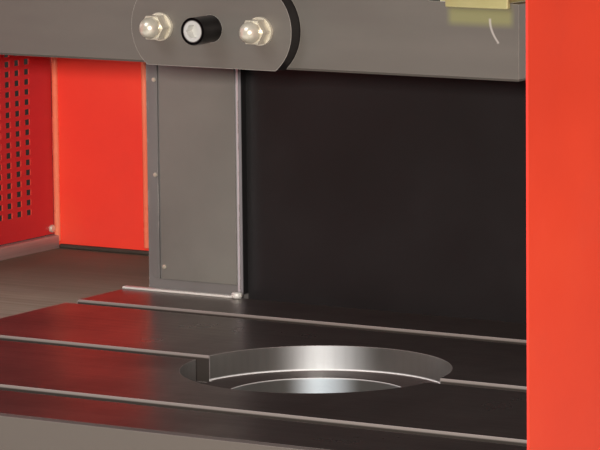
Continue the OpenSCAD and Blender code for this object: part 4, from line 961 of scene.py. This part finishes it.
for side, word in both_sides:
    finish_piece("guard_rail_" + word, guard_rail(side), rail_steel)

# %% Hems of the rear sheets
hem_z = (bolster_top + 1, bolster_top + 640)
hem_radius = 3.2
hem_inset = 117


def hem(side, x):
    """A rolled edge: an upright rod that stands on the sheet's face."""
    rod = round_piece((side * x, plate_face - 1, sum(hem_z) / 2), hem_radius, hem_z[1] - hem_z[0], "Z", 20)
    return bevel(rod, 1)


def lip(side):
    """A black strip beside the sheet's inner hem: painted shade of the dark gap there."""
    x = span(side, guard_face - hem_inset - 9, guard_face - hem_inset - 5)
    return bevel(box_piece((x[0], plate_face - 2, hem_z[0]), (x[1], plate_face + 1, hem_z[1])), 0.8)


for side, word in both_sides:
    hems = join([hem(side, guard_face - hem_inset), hem(side, guard_face - 5)])
    finish_piece("rear_sheet_hems_" + word, hems, hem_highlight_enamel)
    # The black strip is painted shade in the gap beside the hem.
    finish_piece("rear_sheet_shade_strip_" + word, lip(side), black_plastic)

# %% Seal under the rear sheets, a dark bead of painted contact shade
seal_height = 4.5
contact_shade_rubber = moulded("brown_rubber_contact_shade", "#3a322b", "#4c4138", 0.8)


def foot_seal(side):
    """A dark rubber bead between the table and the foot of the rear sheet: painted contact shade."""
    x = span(side, bolster_side + 4, guard_face - 9)
    bead = box_piece((x[0], plate_face - 6, table_top), (x[1], plate_face, table_top + seal_height))
    return bevel(bead, 2, 3)


for side, word in both_sides:
    finish_piece("rear_sheet_shade_bead_" + word, foot_seal(side), contact_shade_rubber)

# %% Screws at the guards' lower corners, and keeper plates on the rod clamps
clamp_low, clamp_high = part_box("rod_clamps")
clamp_side = clamp_high.x / MM
clamp_face = clamp_low.y / MM
keeper_width = 56
keeper_thick = 5
keeper_drop = 4


def keeper(side):
    """A thin plate over the front of one clamp block, set a little low and a little outwards on it."""
    x = span(side, clamp_side + 3 - keeper_width, clamp_side + 3)
    plate = box_piece((x[0], clamp_face - keeper_thick, clamp_low.z / MM - keeper_drop),
        (x[1], clamp_face, clamp_high.z / MM - keeper_drop))
    return bevel(plate, 1.3, 3)


for side, word in both_sides:
    screw = round_piece((side * (guard_face - 3), guard_high.y / MM - 12, guard_z[0] + 6), 4, 4, "X", 24)
    screw = bevel(screw, 1.2, 3)
    finish_piece("guard_corner_screw_" + word, screw, zinc_plate, "guard_" + word)
    finish_piece("rod_clamp_keeper_" + word, keeper(side), yellow_zinc, "slide")

# %% [markdown]
# ## Marks and fittings
#
# The dial on the crown shows the crank's angle in degrees. Its ticks are small cubes turned about the dial's
# centre, and its numbers are text that becomes a mesh. The console's buttons get collars, the cabinet gets
# louvres, and the air tank its bands and gauge. Rings are open cylinders that get their wall from Solidify.

# %% The crank dial's ticks and numbers
dial_low, dial_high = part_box("angle_dial")
dial_middle = centre("angle_dial")
dial_face = dial_low.y / MM
dial_radius = (dial_high.x - dial_low.x) / 2 / MM
figure_reach = (84, 92)
figure_height = 25


def tick(turn, length, width):
    """One mark that points at the dial's centre, turn degrees clockwise from the top."""
    deselect()
    angle = math.radians(turn)
    out = dial_radius - 6 - length / 2
    place = (dial_middle.x + out * math.sin(angle), dial_face - 0.4, dial_middle.z + out * math.cos(angle))
    bpy.ops.mesh.primitive_cube_add(size=1, location=Vector(place) * MM, rotation=(0, angle, 0),
        scale=(width * MM, 1.2 * MM, length * MM))
    return bevel(settle(), 0.25, 1)


def tick_size(turn):
    """Length and width of a tick: longest at the quarters, and thin between the thirties."""
    if turn % 30:
        return (9, 2.6)
    return (15, 4.5) if turn % 90 else (20, 4.5)


def number(words, x, y, z, height):
    """Raised figures on a face that looks to the front."""
    deselect()
    bpy.ops.object.text_add(rotation=(math.pi / 2, 0, 0), location=(x * MM, y * MM, z * MM))
    figures = active()
    figures.data.body = words
    figures.data.align_x = "CENTER"
    figures.data.align_y = "CENTER"
    figures.data.size = height * 1.4 * MM
    figures.data.extrude = 0.4 * MM
    bpy.ops.object.convert(target="MESH")
    return settle()


marks = [tick(turn, *tick_size(turn)) for turn in range(0, 360, 10)]
for turn in (90, 180, 270):
    angle = math.radians(turn)
    marks.append(number(str(turn), dial_middle.x + figure_reach[0] * math.sin(angle), dial_face - 0.3,
        dial_middle.z + figure_reach[1] * math.cos(angle), figure_height))
finish_piece("angle_dial_marks", join(marks), black_plastic)

# %% Rings and collars
def ring_piece(place, inner, outer, depth, axis="Z", sides=64):
    """A flat ring: an open cylinder that Solidify thickens inwards."""
    deselect()
    bpy.ops.mesh.primitive_cylinder_add(vertices=sides, radius=outer * MM, depth=depth * MM,
        location=Vector(place) * MM, rotation=axis_turns[axis], end_fill_type="NOTHING")
    ring = settle()
    wall = ring.modifiers.new("wall", "SOLIDIFY")
    wall.thickness = (outer - inner) * MM
    wall.offset = -1
    bpy.ops.object.modifier_apply(modifier="wall")
    return bevel(ring, min(0.8, depth / 4))


rim = ring_piece((dial_middle.x, dial_face - 2, dial_middle.z), dial_radius - 1, dial_radius + 4, 9, "Y", 96)
finish_piece("angle_dial_rim", rim, black_oxide)

# %% Collars on the console
console_low, console_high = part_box("console")
shroud_height = 55
console_face = console_low.y / MM
console_top = console_high.z / MM - shroud_height
stop, selector = centre("emergency_stop"), centre("selector_knob")
collar = ring_piece((stop.x, console_face - 1.5, stop.z), 14, 36, 3, "Y")
finish_piece("stop_collar", collar, yellow_plastic)
bezel = ring_piece((selector.x, console_face - 1, selector.z), 20, 27, 5, "Y")
finish_piece("selector_bezel", bezel, turned_steel)
for _, word in both_sides:
    palm = centre("palm_button_" + word)
    collar = ring_piece((palm.x, palm.y, console_top + 2), 43, 51, 5)
    finish_piece("palm_collar_" + word, collar, yellow_plastic)
print("console top at", round(console_top, 1))

# %% Figures and screws on the console
panel_screw_x = (console_high.x / MM - 25, 160)
panel_screw_z = (console_low.z / MM + 70, console_low.z / MM + 115)
figures = [number(word, selector.x + dx, console_face - 0.3, selector.z + 38, 12)
    for word, dx in (("0", -26), ("1", 26))]
finish_piece("selector_figures", join(figures), pale_plastic)
panel_screws = [bevel(round_piece((side * x, console_face - 1.5, z), 6, 4, "Y", 24), 1.2)
    for side, _ in both_sides for x in panel_screw_x for z in panel_screw_z]
finish_piece("console_screws", join(panel_screws), zinc_plate)

# %% Cabinet louvres and switch plate
door_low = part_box("cabinet_door")[0]
door_face = door_low.x / MM
door_middle = centre("cabinet_door")
louvre_count = 9
louvre_pitch = 17
louvre_foot = door_low.z / MM + 60
louvre_reach = 100


def louvre(z):
    """A slat whose upper half leans back into the door, and a black strip below it as painted shade."""
    slat = clean_cube((door_face - 5, door_middle.y - louvre_reach, z),
        (door_face + 0.5, door_middle.y + louvre_reach, z + 9))
    for point in slat.data.vertices:
        if point.co.x < (door_face - 1) * MM and point.co.z > (z + 5) * MM:
            point.co.x = (door_face - 0.2) * MM
    gap = box_piece((door_face - 1.2, door_middle.y - louvre_reach + 2, z - 4),
        (door_face + 0.4, door_middle.y + louvre_reach - 2, z))
    return bevel(slat, 0.5, 1, 20), bevel(gap, 0.2, 1)


slats, shade_slots = zip(*[louvre(louvre_foot + louvre_pitch * count) for count in range(louvre_count)])
finish_piece("cabinet_louvres", join(slats), cabinet_coat, "cabinet_door")
# The black strips under the slats are painted shade in the louvre openings.
finish_piece("cabinet_louvre_shade_slots", join(shade_slots), black_plastic, "cabinet_door")
switch = centre("main_switch")
half_plate = 36
plate = box_piece((door_face - 2, switch.y - half_plate, switch.z - half_plate),
    (door_face + 0.5, switch.y + half_plate, switch.z + half_plate))
finish_piece("main_switch_plate", bevel(plate, 1), yellow_plastic, "cabinet_door")

# %% Air tank bands and seams
tank_low, tank_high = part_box("air_tank")
tank_foot, tank_top = tank_low.z / MM, tank_high.z / MM
tank_radius = 110
tank_x, tank_y = tank_high.x / MM - tank_radius, centre("air_tank").y


def tank_rings(heights, wall, depth):
    """Rings round the tank that stand out by wall millimetres."""
    return join([ring_piece((tank_x, tank_y, z), tank_radius - 0.5, tank_radius + wall, depth, "Z", 96)
        for z in heights])


bands = tank_rings((tank_foot + 115, tank_top - 95), 2.5, 34)
finish_piece("air_tank_bands", bands, turned_steel)
seams = tank_rings((tank_foot + 39, tank_top - 39), 1.6, 7)
finish_piece("air_tank_seams", seams, grey_enamel)

# %% Air tank gauge and cock
gauge_x = tank_x + tank_radius + 4
gauge_z = tank_top - 195
case = bevel(round_piece((gauge_x, tank_y, gauge_z), 27, 22, "X"), 2, 3)
case = join([case, ring_piece((gauge_x + 11, tank_y, gauge_z), 23, 27, 5, "X")])
finish_piece("air_gauge_case", case, black_oxide)
gauge_dial = bevel(round_piece((gauge_x + 11.5, tank_y, gauge_z), 22.5, 1.6, "X"), 0.3)
finish_piece("air_gauge_dial", gauge_dial, dial_enamel)
needle = box_piece((gauge_x + 12.2, tank_y - 1, gauge_z - 6), (gauge_x + 13.2, tank_y + 1, gauge_z + 18))
finish_piece("air_gauge_needle", bevel(needle, 0.3, 1), black_plastic)
stem = round_piece((tank_x, tank_y, tank_foot - 9), 8, 22, sides=24)
lever = box_piece((tank_x - 4, tank_y - 30, tank_foot - 16), (tank_x + 4, tank_y + 6, tank_foot - 11))
finish_piece("air_tank_cock", join([bevel(stem, 1.5), bevel(lever, 1.5)]), bronze)

# %% Belt guard screws and weld beads on the bed
belt_low, belt_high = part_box("belt_guard")
belt_radius = belt_high.x / MM
wheel_z = belt_high.z / MM - belt_radius
screw_reach = belt_radius - 22
screw_y = belt_high.y / MM + 2
screw_turns = (-12, 30, 65, 90, 115, 150, 192)
places = [(screw_reach * math.cos(turn), screw_y, wheel_z + screw_reach * math.sin(turn))
    for turn in map(math.radians, screw_turns)]
places.append((0, screw_y, belt_low.z / MM + 24))
rim_screws = [bevel(round_piece(place, 8, 5, "Y", 24), 1.8, 3) for place in places]
finish_piece("belt_guard_screws", join(rim_screws), zinc_plate)
bed_low, bed_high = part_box("bed")
bead_z = (25, bed_high.z / MM - 5)
beads = [bevel(round_piece((side * bed_high.x / MM, bed_low.y / MM + 1, sum(bead_z) / 2), 4,
    bead_z[1] - bead_z[0], sides=12), 1.5) for side, _ in both_sides]
finish_piece("bed_weld_beads", join(beads), grey_enamel)
